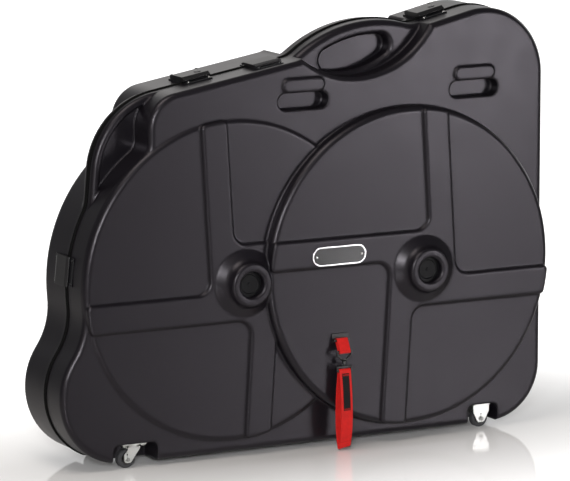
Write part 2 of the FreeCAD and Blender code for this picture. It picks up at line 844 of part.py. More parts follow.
def make_foam():
    """Pads in the two wheel discs and a liner over the back, each resting on the moulded wall."""
    reach = s.disc_radius - s.disc_setback - s.wall - s.foam_margin
    hub_hole = s.boss_base_radius + s.foam_margin
    neighbour = [(right_disc, s.disc_radius + s.foam_margin)]
    pads = (("right_wheel_pad", right_disc, s.right_disc_depth, []),
            ("left_wheel_pad", left_disc, s.left_disc_depth, neighbour))
    for label, centre, depth, others in pads:
        far = depth - s.wall - s.foam_seat
        hub = centre + Vector(s.hub_shift, 0, -s.hub_drop)
        pad = rod(centre, reach, far - s.foam_thickness, far, FRONT)
        holes = [rod(spot, radius, 0, depth, FRONT) for spot, radius in others + [(hub, hub_hole)]]
        moulded(label, less(pad, holes))
    grow = s.wall + s.foam_margin
    far = s.back_depth - s.back_panel_depth - s.wall - s.foam_seat
    liner = prism(panel_wire(grow), far - s.foam_thickness, far, BACK)
    under_grip = rod(handle, s.handle_radius + grow, 0, s.back_depth, BACK)
    holes = castor_pockets(BACK, s.back_depth, grow) + [under_grip]
    moulded("back_foam_liner", less(liner, holes))


# Fittings on the shells

def make_hub_inserts():
    """Round caps in the hub recesses, each with a dished face and a screw head."""
    rim = "(boss_recess_radius - insert_clearance)"
    lip = f"({rim} - insert_ring)"
    dish = "(insert_dish - insert_thickness)"
    face = "-insert_thickness"
    profile = [("0", "0"), ("0", rim), (face, rim), (face, lip), (dish, f"{lip} - insert_dish"),
               (dish, "insert_screw_radius"), (face, "insert_screw_radius"), (face, "0")]
    for label, centre, depth in (("left_hub_insert", LEFT_DISC, "left_disc_depth"),
                                 ("right_hub_insert", RIGHT_DISC, "right_disc_depth")):
        floor = f"-({depth} + arm_rise + hub_rise - boss_recess_depth)"
        body = new_body(label, x=f"{centre} + hub_shift", y=floor, z=HUB_HEIGHT)
        sketch = new_sketch(body, "YZ_Plane")
        draw_lines(sketch, profile)
        revolve(body, sketch, "H_Axis")


def span(side, near, far):
    """A pair of expressions on one side of the seam, lowest first."""
    return (near, far) if side == BACK else (f"-({far})", f"-({near})")


def make_hinges():
    """Butt hinges under the seam: two knuckles on the back leaf, one on the front leaf."""
    third = "hinge_half / 3"
    beyond = f"({third} + knuckle_gap / 2)"
    within = f"({third} - knuckle_gap / 2)"
    outer = [("-hinge_half", f"-{beyond}"), (beyond, "hinge_half")]
    middle = [(f"-{within}", within)]
    sheet_level = ("hinge_drop - leaf_metal", "hinge_drop")
    height = "bottom_height - hinge_drop"
    for name, centre in (("left", "-hinge_place"), ("right", "hinge_place")):
        for leaf, side, knuckles in (("back", BACK, outer), ("front", FRONT, middle)):
            flat = span(side, "leaf_relief", "leaf_width")
            solids = [block(("-hinge_half", "hinge_half"), flat, sheet_level)]
            for length in knuckles:
                solids.append(block(length, span(side, "0", "leaf_relief"), sheet_level))
                solids.append(bar("knuckle_radius", length, "0", "0"))
            through = ("-hinge_half - overrun", "hinge_half + overrun")
            bore = bar("hinge_pin_radius + hinge_pin_clearance", through, "0", "0")
            joined(f"{name}_hinge_{leaf}_leaf", solids, [bore], x=centre, z=height)
        pin = bar("hinge_pin_radius", (f"{centre} - hinge_half", f"{centre} + hinge_half"), SEAM, height)
        keep(pin, f"{name}_hinge_pin")


# Castors

PLATE_UNDERSIDE = "(pocket_roof - plate_thickness)"
FORK_TOP = "(pocket_roof - plate_thickness - race_height - king_play)"
FORK_WIDTH = "(fork_gap + 2 * fork_metal)"


def mirrored_profile(points):
    """A profile given from the middle outwards, and its mirror image."""
    return points + [(f"-({across})", up) for across, up in reversed(points)]


def wheel(name, x, y):
    """Tyre, core and axle of one castor, turned about the axle."""
    half = "(wheel_width / 2)"
    hub_half = "(fork_gap / 2 - core_play)"
    axle_half = f"({FORK_WIDTH} / 2)"
    rim = "(core_radius - core_rim)"
    bore = "(axle_radius + axle_clearance)"
    tyre = mirrored_profile([(half, "core_radius"), (half, "wheel_radius - tread_round"),
                             (f"{half} - tread_round", "wheel_radius")])
    core = mirrored_profile([(hub_half, bore), (hub_half, "core_hub_radius"),
                             ("core_web / 2", "core_hub_radius"), ("core_web / 2", rim),
                             (half, rim), (half, "core_radius")])
    head = f"{axle_half} + axle_head"
    axle = mirrored_profile([(head, "0"), (head, "axle_head_radius"),
                             (axle_half, "axle_head_radius"), (axle_half, "axle_radius")])
    for piece, profile in (("tyre", tyre), ("wheel_core", core), ("axle", axle)):
        body = new_body(f"{name}_{piece}", x=x, y=y, z="wheel_radius")
        sketch = new_sketch(body, "YZ_Plane")
        draw_lines(sketch, profile)
        revolve(body, sketch, "H_Axis")


def swivel_plate(name, x, y):
    """Top plate with the race, kingpin and riveted head under it."""
    body = new_body(f"{name}_top_plate", x=x, y=y)
    sketch = new_sketch(body, "XY_Plane", PLATE_UNDERSIDE)
    half = "plate_length / 2"
    draw_lines(sketch, rectangle(f"-{half}", half, "-plate_width / 2", "plate_width / 2"))
    plate = extrude(body, "Pad", sketch, "plate_thickness")
    soften(body, plate, "plate_corner_radius", runs_along(Vector(0, 0, 1)))
    under_race = f"{PLATE_UNDERSIDE} - race_height"
    under_pin = f"{under_race} - fork_metal - 2 * king_play"
    under_head = f"{under_pin} - king_head"
    sketch = new_sketch(body, "XZ_Plane")
    draw_lines(sketch, [("0", PLATE_UNDERSIDE), ("race_radius", PLATE_UNDERSIDE),
                        ("race_radius", under_race), ("king_radius", under_race),
                        ("king_radius", under_pin), ("king_head_radius", under_pin),
                        ("king_head_radius", under_head), ("0", under_head)])
    revolve(body, sketch, "V_Axis")


def open_fork(body, foot, roof):
    """Hollow a fork between its cheeks and bore it for the axle."""
    sketch = new_sketch(body, "XZ_Plane")
    draw_lines(sketch, rectangle("-trail - plate_length", "plate_length", "-wheel_radius", roof))
    extrude(body, "Pocket", sketch, "fork_gap", both_ways=True)
    sketch = new_sketch(body, "XZ_Plane")
    draw_circle(sketch, foot, "wheel_radius", "axle_radius + axle_clearance")
    draw_circle(sketch, foot, "wheel_radius + fork_hole_rise", "fork_hole_radius")
    extrude(body, "Pocket", sketch, f"{FORK_WIDTH} + overrun", both_ways=True)


def round_foot(body, pad):
    """Round the lower corners of a fork's cheeks."""
    across = runs_along(Vector(0, 1, 0))
    level = s.wheel_radius - s.fork_foot
    return soften(body, pad, "fork_foot_radius",
                  lambda edge: across(edge) and abs(edge.CenterOfMass.z - level) < TOLERANCE)


def swivel_fork(name, x, y):
    """Pressed fork that trails behind its kingpin."""
    body = new_body(f"{name}_fork", x=x, y=y)
    sketch = new_sketch(body, "XZ_Plane")
    shoulder_line = f"{FORK_TOP} - fork_drop"
    draw_lines(sketch, [("fork_half", FORK_TOP), ("fork_half", shoulder_line),
                        ("fork_foot - trail", "wheel_radius - fork_foot"),
                        ("-fork_foot - trail", "wheel_radius - fork_foot"),
                        ("-fork_foot - trail", "wheel_radius + fork_foot"),
                        ("-fork_half", shoulder_line), ("-fork_half", FORK_TOP)])
    round_foot(body, extrude(body, "Pad", sketch, FORK_WIDTH, both_ways=True))
    open_fork(body, "-trail", f"{FORK_TOP} - fork_metal")
    sketch = new_sketch(body, "XY_Plane", f"{FORK_TOP} + king_play")
    draw_circle(sketch, "0", "0", "king_radius + axle_clearance")
    extrude(body, "Pocket", sketch, "fork_metal + 2 * king_play")


def rigid_bracket(name, x, y):
    """One-piece bracket of a castor that doesn't turn, creased below its wide upper part."""
    body = new_body(f"{name}_bracket", x=x, y=y)
    sketch = new_sketch(body, "XY_Plane", PLATE_UNDERSIDE)
    half = "bracket_plate_length / 2"
    draw_lines(sketch, rectangle(f"-{half}", half, "-plate_width / 2", "plate_width / 2"))
    plate = extrude(body, "Pad", sketch, "plate_thickness")
    soften(body, plate, "plate_corner_radius", runs_along(Vector(0, 0, 1)))
    sketch = new_sketch(body, "XZ_Plane")
    draw_lines(sketch, mirrored_profile([("bracket_half", PLATE_UNDERSIDE),
                                         ("bracket_half", "bracket_crease"),
                                         ("fork_foot", "wheel_radius - fork_foot")]))
    round_foot(body, extrude(body, "Pad", sketch, FORK_WIDTH, both_ways=True))
    sketch = new_sketch(body, "XZ_Plane")
    draw_lines(sketch, rectangle("-bracket_half", "bracket_half", "bracket_crease", PLATE_UNDERSIDE))
    extrude(body, "Pad", sketch, f"{FORK_WIDTH} + 2 * crease_step", both_ways=True)
    open_fork(body, "0", PLATE_UNDERSIDE)


def make_castors():
    for name, y in (("front", "(castor_setback - front_depth)"),
                    ("back", "(back_depth - castor_setback)")):
        swivel_plate(f"{name}_swivel_castor", SWIVEL, y)
        swivel_fork(f"{name}_swivel_castor", SWIVEL, y)
        wheel(f"{name}_swivel_castor", f"{SWIVEL} - trail", y)
        rigid_bracket(f"{name}_rigid_castor", RIGID, y)
        wheel(f"{name}_rigid_castor", RIGID, y)


# Latches

def latch_base(name, side, where, rise):
    """Riveted base with two round lugs for the lever pin, flush with the lever's ends."""
    deck = ("latch_seat", f"latch_seat + {rise} * latch_base_metal")
    pin_y = f"{side} * latch_pin_reach"
    pin_z = f"({rise} * latch_pin_height)"
    half = f"({rise} * latch_lug_half)"
    end = f"latch_pin_reach + {half}"
    lug = span(side, f"latch_pin_reach - {half}", end)
    apron = span(side, "latch_base_start", f"{end} + latch_apron")
    solids = [block(("-lever_half", "lever_half"), apron, deck)]
    for length in (("-lever_half", "latch_lug - lever_half"), ("lever_half - latch_lug", "lever_half")):
        solids += [block(length, lug, ("latch_seat", pin_z)), bar(half, length, pin_y, pin_z)]
    through = ("-lever_half - overrun", "lever_half + overrun")
    bore = bar(f"{rise} * latch_pin_radius + latch_pin_clearance", through, pin_y, pin_z)
    joined(f"{name}_latch_base", solids, [bore], **where)
    body = new_body(f"{name}_latch_pin", **where)
    sketch = new_sketch(body, "YZ_Plane")
    draw_circle(sketch, pin_y, pin_z, f"{rise} * latch_pin_radius")
    extrude(body, "Pad", sketch, "2 * lever_half", both_ways=True)


HALF_TURN_SHARE = "sqrt(0.5)"


def latch_lever(name, side, where, rise, with_lock):
    """Cover lever, rounded about its pin and notched for the lugs, that laps over the keeper."""
    radius = f"{rise} * latch_heel_radius"
    heel = f"({HALF_TURN_SHARE} * {radius})"
    reach = "latch_pin_reach"
    centre = f"{rise} * latch_pin_height"
    floor = "lever_floor"
    nose_top = f"{floor} + {rise} * (lever_nose - {floor})"
    top = f"{floor} + {rise} * (lever_top - {floor})"
    profile = [("-lever_lap", floor), ("-lever_lap", nose_top),
               ("lever_slope - lever_lap", top), (f"{reach} - lever_slope", top),
               (reach, f"{centre} + {radius}"), (f"{reach} + {heel}", f"{centre} + {heel}"),
               (f"{reach} + {radius}", centre), (f"{reach} + {heel}", f"{centre} - {heel}"),
               (reach, f"{centre} - {radius}"), (f"{reach} - lever_slope", floor)]
    body = new_body(f"{name}_latch_lever", **where)
    sketch = new_sketch(body, "YZ_Plane")
    draw_lines(sketch, [(f"{side} * ({across})", up) for across, up in profile])
    pad = extrude(body, "Pad", sketch, "2 * lever_half", both_ways=True)
    along = runs_along(Vector(1, 0, 0))
    nose = f"{side} * (lever_slope - lever_lap)"
    soften(body, pad, f"{rise} * lever_edge_radius",
           lambda edge: along(edge) and side * edge.CenterOfMass.y < side * worth(nose) + TOLERANCE)
    sketch = new_sketch(body, "YZ_Plane")
    draw_circle(sketch, f"{side} * {reach}", centre, f"{rise} * latch_pin_radius + latch_pin_clearance")
    extrude(body, "Pocket", sketch, "2 * lever_half + overrun", both_ways=True)
    sketch = new_sketch(body, "XY_Plane", top)
    notch = span(side, f"{reach} - {rise} * latch_lug_half - lever_play", f"{reach} + overrun")
    inner = "lever_half - latch_lug - lever_play"
    outer = "lever_half + overrun"
    for ends in ((f"-({outer})", f"-({inner})"), (inner, outer)):
        draw_lines(sketch, rectangle(*ends, *notch))
    extrude(body, "Pocket", sketch, top)
    if with_lock:
        sketch = new_sketch(body, "XY_Plane", top)
        draw_circle(sketch, "lock_place", f"{side} * lock_reach", "lock_radius + lock_clearance")
        extrude(body, "Pocket", sketch, "lock_depth")


def latch_keeper(name, side, where, rise):
    """Plate on the other half shell that the lever closes over."""
    body = new_body(f"{name}_latch_keeper", **where)
    sketch = new_sketch(body, "XY_Plane", "latch_seat")
    ends = span(-side, "keeper_start", "keeper_end")
    draw_lines(sketch, rectangle("-keeper_half", "keeper_half", *ends))
    plate = extrude(body, "Pad", sketch, f"{rise} * keeper_metal")
    soften(body, plate, "lever_edge_radius", runs_along(Vector(0, 0, 1)))


def latch_lock(name, side, where):
    """Key cylinder in the lever, with its key slot."""
    body = new_body(f"{name}_latch_lock", **where)
    spot = ("lock_place", f"{side} * lock_reach")
    sketch = new_sketch(body, "XY_Plane", "lever_top - lock_depth")
    draw_circle(sketch, *spot, "lock_radius")
    extrude(body, "Pad", sketch, "lock_depth + lock_rise")
    sketch = new_sketch(body, "XY_Plane", "lever_top + lock_rise")
    draw_lines(sketch, rectangle(f"{spot[0]} - key_slot_half", f"{spot[0]} + key_slot_half",
                                 f"{spot[1]} - key_slot_width / 2", f"{spot[1]} + key_slot_width / 2"))
    extrude(body, "Pocket", sketch, "key_slot_depth")


def make_latches():
    left_x = f"({LEFT_DISC} - latch_left_setback)"
    middle_x = f"({ARCH} - latch_middle_setback)"
    crown_height = f"{TOP} + {CROWN} * tan(top_slope) + crown_lift"
    left = {"x": left_x, "z": f"{TOP} + {left_x} * tan(top_slope)", "lean": "top_slope"}
    middle = {"x": middle_x, "z": f"{TOP} + {middle_x} * tan(top_slope)", "lean": "top_slope"}
    right = {"x": f"{CROWN} + latch_right_lead", "lean": "crown_slope",
             "z": f"{crown_height} + latch_right_lead * tan(crown_slope)"}
    end = {"x": f"{LEFT_DISC} + disc_radius * cos(latch_side_angle)", "lean": "latch_side_angle - 90",
           "z": f"{DISC_HEIGHT} + disc_radius * sin(latch_side_angle)"}
    low = "low_latch_share"
    latches = (("top_left", BACK, left, "1", True), ("top_middle", FRONT, middle, low, False),
               ("top_right", BACK, right, "1", True), ("side", BACK, end, low, False))
    for name, side, where, rise, with_lock in latches:
        latch_base(name, side, where, rise)
        latch_lever(name, side, where, rise, with_lock)
        latch_keeper(name, side, where, rise)
        if with_lock:
            latch_lock(name, side, where)


def make_badge():
    """Bare plate with round ends and a raised border."""
    body = new_body("badge_plate", x=f"{RIGHT_DISC} + hub_shift - badge_setback",
                    y="-(right_disc_depth + arm_rise)", z=f"{HUB_HEIGHT} + arm_offset - badge_drop")
    sketch = new_sketch(body, "XZ_Plane")
    draw_pill(sketch, "badge_length / 2", "badge_width / 2")
    extrude(body, "Pad", sketch, "badge_metal")
    sketch = new_sketch(body, "XZ_Plane", "badge_metal")
    draw_pill(sketch, "(badge_length / 2 - badge_border)", "(badge_width / 2 - badge_border)")
    extrude(body, "Pocket", sketch, "badge_sink")


# Tow strap

STRAP = f"({RIGHT_DISC} - strap_setback)"
ANCHOR_HEIGHT = f"({DISC_HEIGHT} - anchor_drop)"
HOOK_HEIGHT = f"({ANCHOR_HEIGHT} - hook_drop)"
EYE_TOP = "(hook_ring_height + hook_metal + barrel_height + stem_gap)"
EYE_BAR = f"({EYE_TOP} + hook_metal + eye_height)"


def tapered_ring(label, bar, neck, shoulder, where):
    """A flat ring round a bar for webbing, tapered to a neck; both are heights below the hook's bar."""
    up = 1 if worth(bar) < worth(neck) else -1
    outer_end = f"-({bar}) + {up} * anchor_bar_radius"
    inner_end = f"-({bar}) - {up} * anchor_bar_radius"
    outer_neck = f"-({neck})"
    inner_neck = f"{outer_neck} + {up} * hook_metal"
    body = new_body(label, **where)
    sketch = new_sketch(body, "XZ_Plane")
    draw_lines(sketch, mirrored_profile([("hook_half", outer_end),
                                         ("hook_half", f"{outer_neck} + {up} * {shoulder}"),
                                         ("barrel_radius", outer_neck)]))
    pad = extrude(body, "Pad", sketch, "2 * anchor_bar_radius", both_ways=True)
    across = runs_along(Vector(0, 1, 0))
    soften(body, pad, "hook_corner_radius", across)
    sketch = new_sketch(body, "XZ_Plane")
    draw_lines(sketch, mirrored_profile([("hook_half - hook_metal", inner_end),
                                         ("hook_half - hook_metal", f"{inner_neck} + {up} * {shoulder}"),
                                         ("barrel_radius", inner_neck)]))
    pocket = extrude(body, "Pocket", sketch, "2 * anchor_bar_radius + overrun", both_ways=True)
    along = runs_along(Vector(1, 0, 0))
    reach = s.anchor_bar_radius + TOLERANCE
    soften(body, pocket, "hook_bar_round",
           lambda edge: along(edge) and abs(edge.CenterOfMass.z + worth(bar)) < reach)
    return body


def leaf_wire(upper, lower, tip, bulge, inset):
    """Two long arcs in the YZ plane that bulge away from each other, with round tips."""
    middle = (upper + lower) / 2
    half = (upper - lower).Length / 2
    radius = (bulge ** 2 + half ** 2 - tip ** 2) / (2 * (bulge - tip))
    arcs = []
    touches = []
    for hand in (-1, 1):
        centre = middle - Vector(0, hand * (radius - bulge), 0)
        ends = [centre + (spot - centre).normalize() * (radius - inset) for spot in (upper, lower)]
        arcs.append(Part.Arc(ends[0], middle + Vector(0, hand * (bulge - inset), 0), ends[1]))
        touches.append(ends)
    for number, spot, way in ((0, upper, 1), (1, lower, -1)):
        end = spot + Vector(0, 0, way * (tip - inset))
        arcs.append(Part.Arc(touches[0][number], end, touches[1][number]))
    return Part.Wire(Part.__sortEdges__([arc.toShape() for arc in arcs]))


def both_legs(y, z):
    """A pair of legs beside the webbing."""
    legs = [("-hook_half", "hook_metal - hook_half"), ("hook_half - hook_metal", "hook_half")]
    return [block(leg, y, z) for leg in legs]


def belt_wire(upper, lower, radius):
    """A belt round two like circles in the YZ plane."""
    way = (lower - upper).normalize() * radius
    across = Vector(0, -way.z, way.y)
    tops = [upper + across, upper - across]
    feet = [lower + across, lower - across]
    edges = [Part.LineSegment(tops[0], feet[0]), Part.Arc(feet[0], lower + way, feet[1]),
             Part.LineSegment(feet[1], tops[1]), Part.Arc(tops[1], upper - way, tops[0])]
    return Part.Wire([edge.toShape() for edge in edges])


def webbing(label, outer, inner, width):
    """A closed webbing loop between two wires in the YZ plane."""
    ring = Part.Face(outer).cut(Part.Face(inner))
    ring.translate(Vector(worth(STRAP) - width / 2, 0, 0))
    moulded(label, ring.extrude(Vector(width, 0, 0)))


def make_strap():
    """Anchor, webbing, swivel hook and hand loop that hang on the right disc."""
    bar_half = ("-anchor_bar_radius", "anchor_bar_radius")
    standing = ("-(anchor_standoff + anchor_bar_radius)", "0")
    anchor = [block(("-anchor_plate_half", "anchor_plate_half"), ("-anchor_metal", "0"),
                    ("-anchor_plate_drop", "anchor_plate_rise")),
              bar("anchor_bar_radius", ("-hook_half", "hook_half"), "-anchor_standoff", "0")]
    joined("strap_anchor", anchor + both_legs(standing, bar_half),
           x=STRAP, y="-right_disc_depth", z=ANCHOR_HEIGHT)
    hang = {"x": STRAP, "y": "-(right_disc_depth + strap_standoff)", "z": HOOK_HEIGHT}
    neck = "(hook_ring_height + hook_metal)"
    barrel_end = f"({neck} + barrel_height)"
    hook = tapered_ring("strap_hook", "0", neck, "hook_shoulder", hang)
    sketch = new_sketch(hook, "XY_Plane", f"-{barrel_end}")
    draw_circle(sketch, "0", "0", "barrel_radius")
    extrude(hook, "Pad", sketch, "barrel_height")
    sketch = new_sketch(hook, "XY_Plane", f"-{barrel_end}")
    draw_circle(sketch, "0", "0", "stem_radius + stem_clearance")
    extrude(hook, "Pocket", sketch, "stem_insert + stem_gap", backwards=True)
    eye = tapered_ring("strap_swivel_eye", EYE_BAR, EYE_TOP, "eye_shoulder", hang)
    sketch = new_sketch(eye, "XY_Plane", f"-{EYE_TOP}")
    draw_circle(sketch, "0", "0", "stem_radius")
    extrude(eye, "Pad", sketch, "stem_insert + stem_gap")
    room = s.anchor_bar_radius + s.webbing_clearance
    around = room + s.webbing_thickness
    hang_y = -(s.right_disc_depth + s.strap_standoff)
    anchor_bar = Vector(0, -(s.right_disc_depth + s.anchor_standoff), worth(ANCHOR_HEIGHT))
    hook_bar = Vector(0, hang_y, worth(HOOK_HEIGHT))
    webbing("strap_anchor_webbing", belt_wire(anchor_bar, hook_bar, around),
            belt_wire(anchor_bar, hook_bar, room), s.webbing_width)
    eye_bar = hook_bar - Vector(0, 0, worth(EYE_BAR))
    fold = Vector(0, hang_y, s.loop_ground_gap + around)
    webbing("strap_hand_loop", leaf_wire(eye_bar, fold, around, s.loop_bulge, 0),
            leaf_wire(eye_bar, fold, around, s.loop_bulge, s.webbing_thickness), s.loop_width)


make_shells()
make_seal()
make_foam()
make_hub_inserts()
make_hinges()
make_castors()
make_latches()
make_badge()
make_strap()


# Checking and writing

doc.recompute()
for thing in doc.Objects:
    if {"Invalid", "Error"} & set(thing.State):
        raise RuntimeError(f"{thing.Label} failed: {thing.State}")
for part in parts:
    if part.Shape.isNull() or not part.Shape.isValid():
        raise RuntimeError(f"{part.Label} has no valid shape")
os.makedirs("parts", exist_ok=True)
for part in parts:
    part.Shape.exportStep(f"parts/{part.Label}.step")
    print(part.Label, len(part.Shape.Solids), round(part.Shape.Volume))
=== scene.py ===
"""Looks of a hard bicycle travel case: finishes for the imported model, its trim and a studio floor."""

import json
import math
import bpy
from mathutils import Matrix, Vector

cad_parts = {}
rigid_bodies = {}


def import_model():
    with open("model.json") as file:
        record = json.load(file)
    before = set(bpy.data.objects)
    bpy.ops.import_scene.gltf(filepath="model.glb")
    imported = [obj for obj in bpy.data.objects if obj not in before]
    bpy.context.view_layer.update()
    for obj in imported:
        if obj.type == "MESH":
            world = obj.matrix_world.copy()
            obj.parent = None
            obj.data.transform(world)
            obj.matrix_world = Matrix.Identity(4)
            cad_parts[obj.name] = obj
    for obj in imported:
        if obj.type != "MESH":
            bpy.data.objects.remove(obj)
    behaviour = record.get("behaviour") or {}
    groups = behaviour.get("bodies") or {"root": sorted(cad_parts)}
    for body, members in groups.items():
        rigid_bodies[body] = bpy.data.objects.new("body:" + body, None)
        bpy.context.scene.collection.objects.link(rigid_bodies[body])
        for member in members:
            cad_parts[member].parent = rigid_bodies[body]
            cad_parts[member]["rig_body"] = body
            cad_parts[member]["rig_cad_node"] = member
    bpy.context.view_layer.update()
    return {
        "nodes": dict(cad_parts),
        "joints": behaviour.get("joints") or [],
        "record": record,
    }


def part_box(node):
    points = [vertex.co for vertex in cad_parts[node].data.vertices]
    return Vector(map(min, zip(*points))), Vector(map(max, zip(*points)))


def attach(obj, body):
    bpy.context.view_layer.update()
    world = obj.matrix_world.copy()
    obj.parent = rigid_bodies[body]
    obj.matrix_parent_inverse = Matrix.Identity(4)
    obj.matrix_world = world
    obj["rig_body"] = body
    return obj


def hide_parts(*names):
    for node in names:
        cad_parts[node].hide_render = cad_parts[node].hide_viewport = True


bl_info = {
    "name": "Bicycle Travel Case",
    "version": (1, 0, 0),
    "blender": (4, 5, 0),
    "location": "View3D > Sidebar > Travel Case",
    "description": "Finishes the travel case, adds its trim and sets it on a studio floor",
    "category": "Object",
}

import bpy
from bpy.props import FloatProperty, FloatVectorProperty, IntProperty, PointerProperty
from mathutils import Matrix, Vector

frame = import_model()
NODES = frame["nodes"]
JOINTS = {joint["name"]: joint for joint in frame["joints"]}
BODY_OF = {node: body for body, nodes in frame["record"]["behaviour"]["bodies"].items() for node in nodes}
MM = 0.001
X, Y, Z = Vector((1, 0, 0)), Vector((0, 1, 0)), Vector((0, 0, 1))
# A ray that looks for a surface starts this far outside it.
RAY_START = 40 * MM
# Points that lie closer than this count as level.
LEVEL = 0.1 * MM
LATCHES = ("top_left", "top_middle", "top_right", "side")
LOCKED_LATCHES = ("top_left", "top_right")


def linear(code):
    """An sRGB hex colour as linear red, green and blue."""
    parts = [int(code[i:i + 2], 16) / 255 for i in (0, 2, 4)]
    return [part / 12.92 if part <= 0.04045 else ((part + 0.055) / 1.055) ** 2.4 for part in parts]


def colour(name, description, code):
    """A colour setting with an sRGB hex default."""
    return FloatVectorProperty(name=name, description=description, subtype="COLOR",
                               size=3, min=0, max=1, default=linear(code))


def length(name, description, millimetres):
    """A length setting with a default in millimetres."""
    return FloatProperty(name=name, description=description, unit="LENGTH", subtype="DISTANCE",
                         default=millimetres * MM, min=0)


# Settings

class ShellSettings(bpy.types.PropertyGroup):
    sheet_colour: colour("Sheet colour", "Colour of the moulded sheet", "100E12")
    edge_softness: length("Edge softness", "Radius that moulding leaves on every edge", 8)
    grain: length("Grain", "Spacing of the fine moulded grain", 2.4)
    seal_proud: length("Seal proud", "How far the seal's bead stands out of the seam", 3)
    seal_clearance: length("Seal clearance", "Gap between the seal and the front rim", 0.3)
    flush_height: length("Flush height", "Height below which the seal lies flush, over the hinges", 22)
    heart_height: length("Heart height", "Height of the point that the seal's outside faces away from", 420)
    # Rows across the bead, each with its share of the full swelling.
    BEAD = {0.08: 0.55, 0.25: 1, 0.75: 1, 0.92: 0.55}


class FoamSettings(bpy.types.PropertyGroup):
    foam_colour: colour("Foam colour", "Colour of the lining foam", "3B3B40")
    remesh: length("Remesh", "Size of the squares that the soft foam is made of", 5)
    rounding: IntProperty(name="Rounding", description="How often the cut edges are smoothed", default=8, min=0)
    cell: length("Cell", "Size of the open cells", 2.5)


class FastenerSettings(bpy.types.PropertyGroup):
    rivet_radius: length("Rivet radius", "Radius of a rivet's domed head", 3.1)
    rivet_rise: length("Rivet rise", "Height of a rivet's domed head", 1.6)
    screw_radius: length("Screw radius", "Radius of a screw's pan head", 3.6)
    latch_spread: length("Latch spread", "Distance between a latch's two rivets or screws", 50)
    apron_inset: length("Apron inset", "How far a latch's screws lie inside the edge of its base", 5)
    bolt_radius: length("Bolt radius", "Corner radius of a hexagon bolt head", 4.8)


class BadgeSettings(bpy.types.PropertyGroup):
    field_colour: colour("Field colour", "Colour of the bare field", "060607")
    field_thickness: length("Field thickness", "Thickness of the field that lies in the plate's recess", 0.6)
    border: length("Border", "Width of the bright border", 3)
    rivet_inset: length("Rivet inset", "How far a rivet lies inside the field's end", 8)


class StrapSettings(bpy.types.PropertyGroup):
    webbing_colour: colour("Webbing colour", "Colour of the woven webbing", "DB1C17")
    thread_spacing: length("Thread spacing", "Spacing of the webbing's ribs", 2.6)
    thickness: length("Thickness", "Thickness of the webbing", 1.8)
    bow: length("Bow", "How far each band of the hand loop bows out from its middle", 13)
    belly: length("Belly", "How far the bowed middle of the hand loop hangs down", 14)
    tip_radius: length("Tip radius", "Radius of the webbing's outside where it goes round a bar", 4.9)
    patch_inset: length("Patch inset", "How far the patch starts below the top of the hand loop", 8)
    patch_thickness: length("Patch thickness", "Thickness of the sewn patch", 0.7)
    patch_width: length("Patch width", "Width of the bare sewn patch", 17)
    patch_length: length("Patch length", "Length of the bare sewn patch", 69)
    hem_height: length("Hem height", "How far the cross seam lies above the bottom of the hand loop", 20)
    stitch_length: length("Stitch length", "Length of one stitch", 3)
    slant: FloatProperty(name="Slant", description="How far the hand loop's lower end hangs askew",
                         default=math.radians(9), subtype="ANGLE", unit="ROTATION")


class StageSettings(bpy.types.PropertyGroup):
    floor_colour: colour("Floor colour", "Colour of the studio floor", "F4F4F4")
    floor_size: length("Floor size", "Side of the square floor", 60000)
    # The floor's glow is held back in an oval round the case: painted shadow on top of the lamps' own.
    shadow_reach: length("Shadow reach", "How far from the middle the shadow stays whole", 120)
    shadow_end: length("Shadow end", "Where the shadow has thinned out and the floor still mirrors the case", 480)
    white_from: length("White from", "Where the floor has burnt out to white", 840)
    oval_share: FloatProperty(name="Oval share", default=0.35, min=0, max=1, subtype="FACTOR",
                              description="How much of a distance along the case counts, for an oval shadow")
    near_glow: FloatProperty(name="Near glow", default=0.48, min=0, max=1, subtype="FACTOR",
                             description="How bright the floor glows where it still mirrors the case")
    mirrored_share: FloatProperty(name="Mirrored share", default=0.08, min=0, max=1, subtype="FACTOR",
                                  description="How much of the floor's glow shows in reflections")
    fill_colour: colour("Fill colour", "Colour of the light all round", "FFF4E8")
    fill_strength: FloatProperty(name="Fill strength", description="Strength of the light all round",
                                 default=0.12, min=0)
    room_glow: FloatProperty(name="Room glow", description="Brightness of the room in reflections",
                             default=0.14, min=0)
    backdrop_glow: FloatProperty(name="Backdrop glow", description="Brightness of the backdrop in reflections",
                                 default=0.8, min=0)
    backdrop_turn: FloatProperty(name="Backdrop turn", description="Direction of the backdrop behind the case",
                                 default=math.radians(28), subtype="ANGLE", unit="ROTATION")
    azimuth: FloatProperty(name="Azimuth", description="Direction the camera looks from",
                           default=math.radians(-28.33), subtype="ANGLE", unit="ROTATION")
    elevation: FloatProperty(name="Elevation", description="Height of the camera above the horizon",
                             default=math.radians(9.81), subtype="ANGLE", unit="ROTATION")
    camera_place: FloatVectorProperty(name="Camera place", description="Where the camera stands",
                                      subtype="TRANSLATION", unit="LENGTH", size=3,
                                      default=(-4.4139, -8.1462, 2.0515))
    lens: FloatProperty(name="Lens", description="Focal length on a full frame, in millimetres", default=273.3)


SETTINGS = {
    "case_shell": ShellSettings,
    "case_foam": FoamSettings,
    "case_fastener": FastenerSettings,
    "case_badge": BadgeSettings,
    "case_strap": StrapSettings,
    "case_stage": StageSettings,
}


# Materials

def node(tree, kind, links=None, **settings):
    """Add a shader node, set its properties and fill its inputs with values or other nodes' outputs."""
    made = tree.nodes.new("ShaderNode" + kind)
    for name, value in settings.items():
        setattr(made, name, value)
    for socket, source in (links or {}).items():
        if isinstance(source, bpy.types.NodeSocket):
            tree.links.new(source, made.inputs[socket])
        else:
            made.inputs[socket].default_value = source
    return made


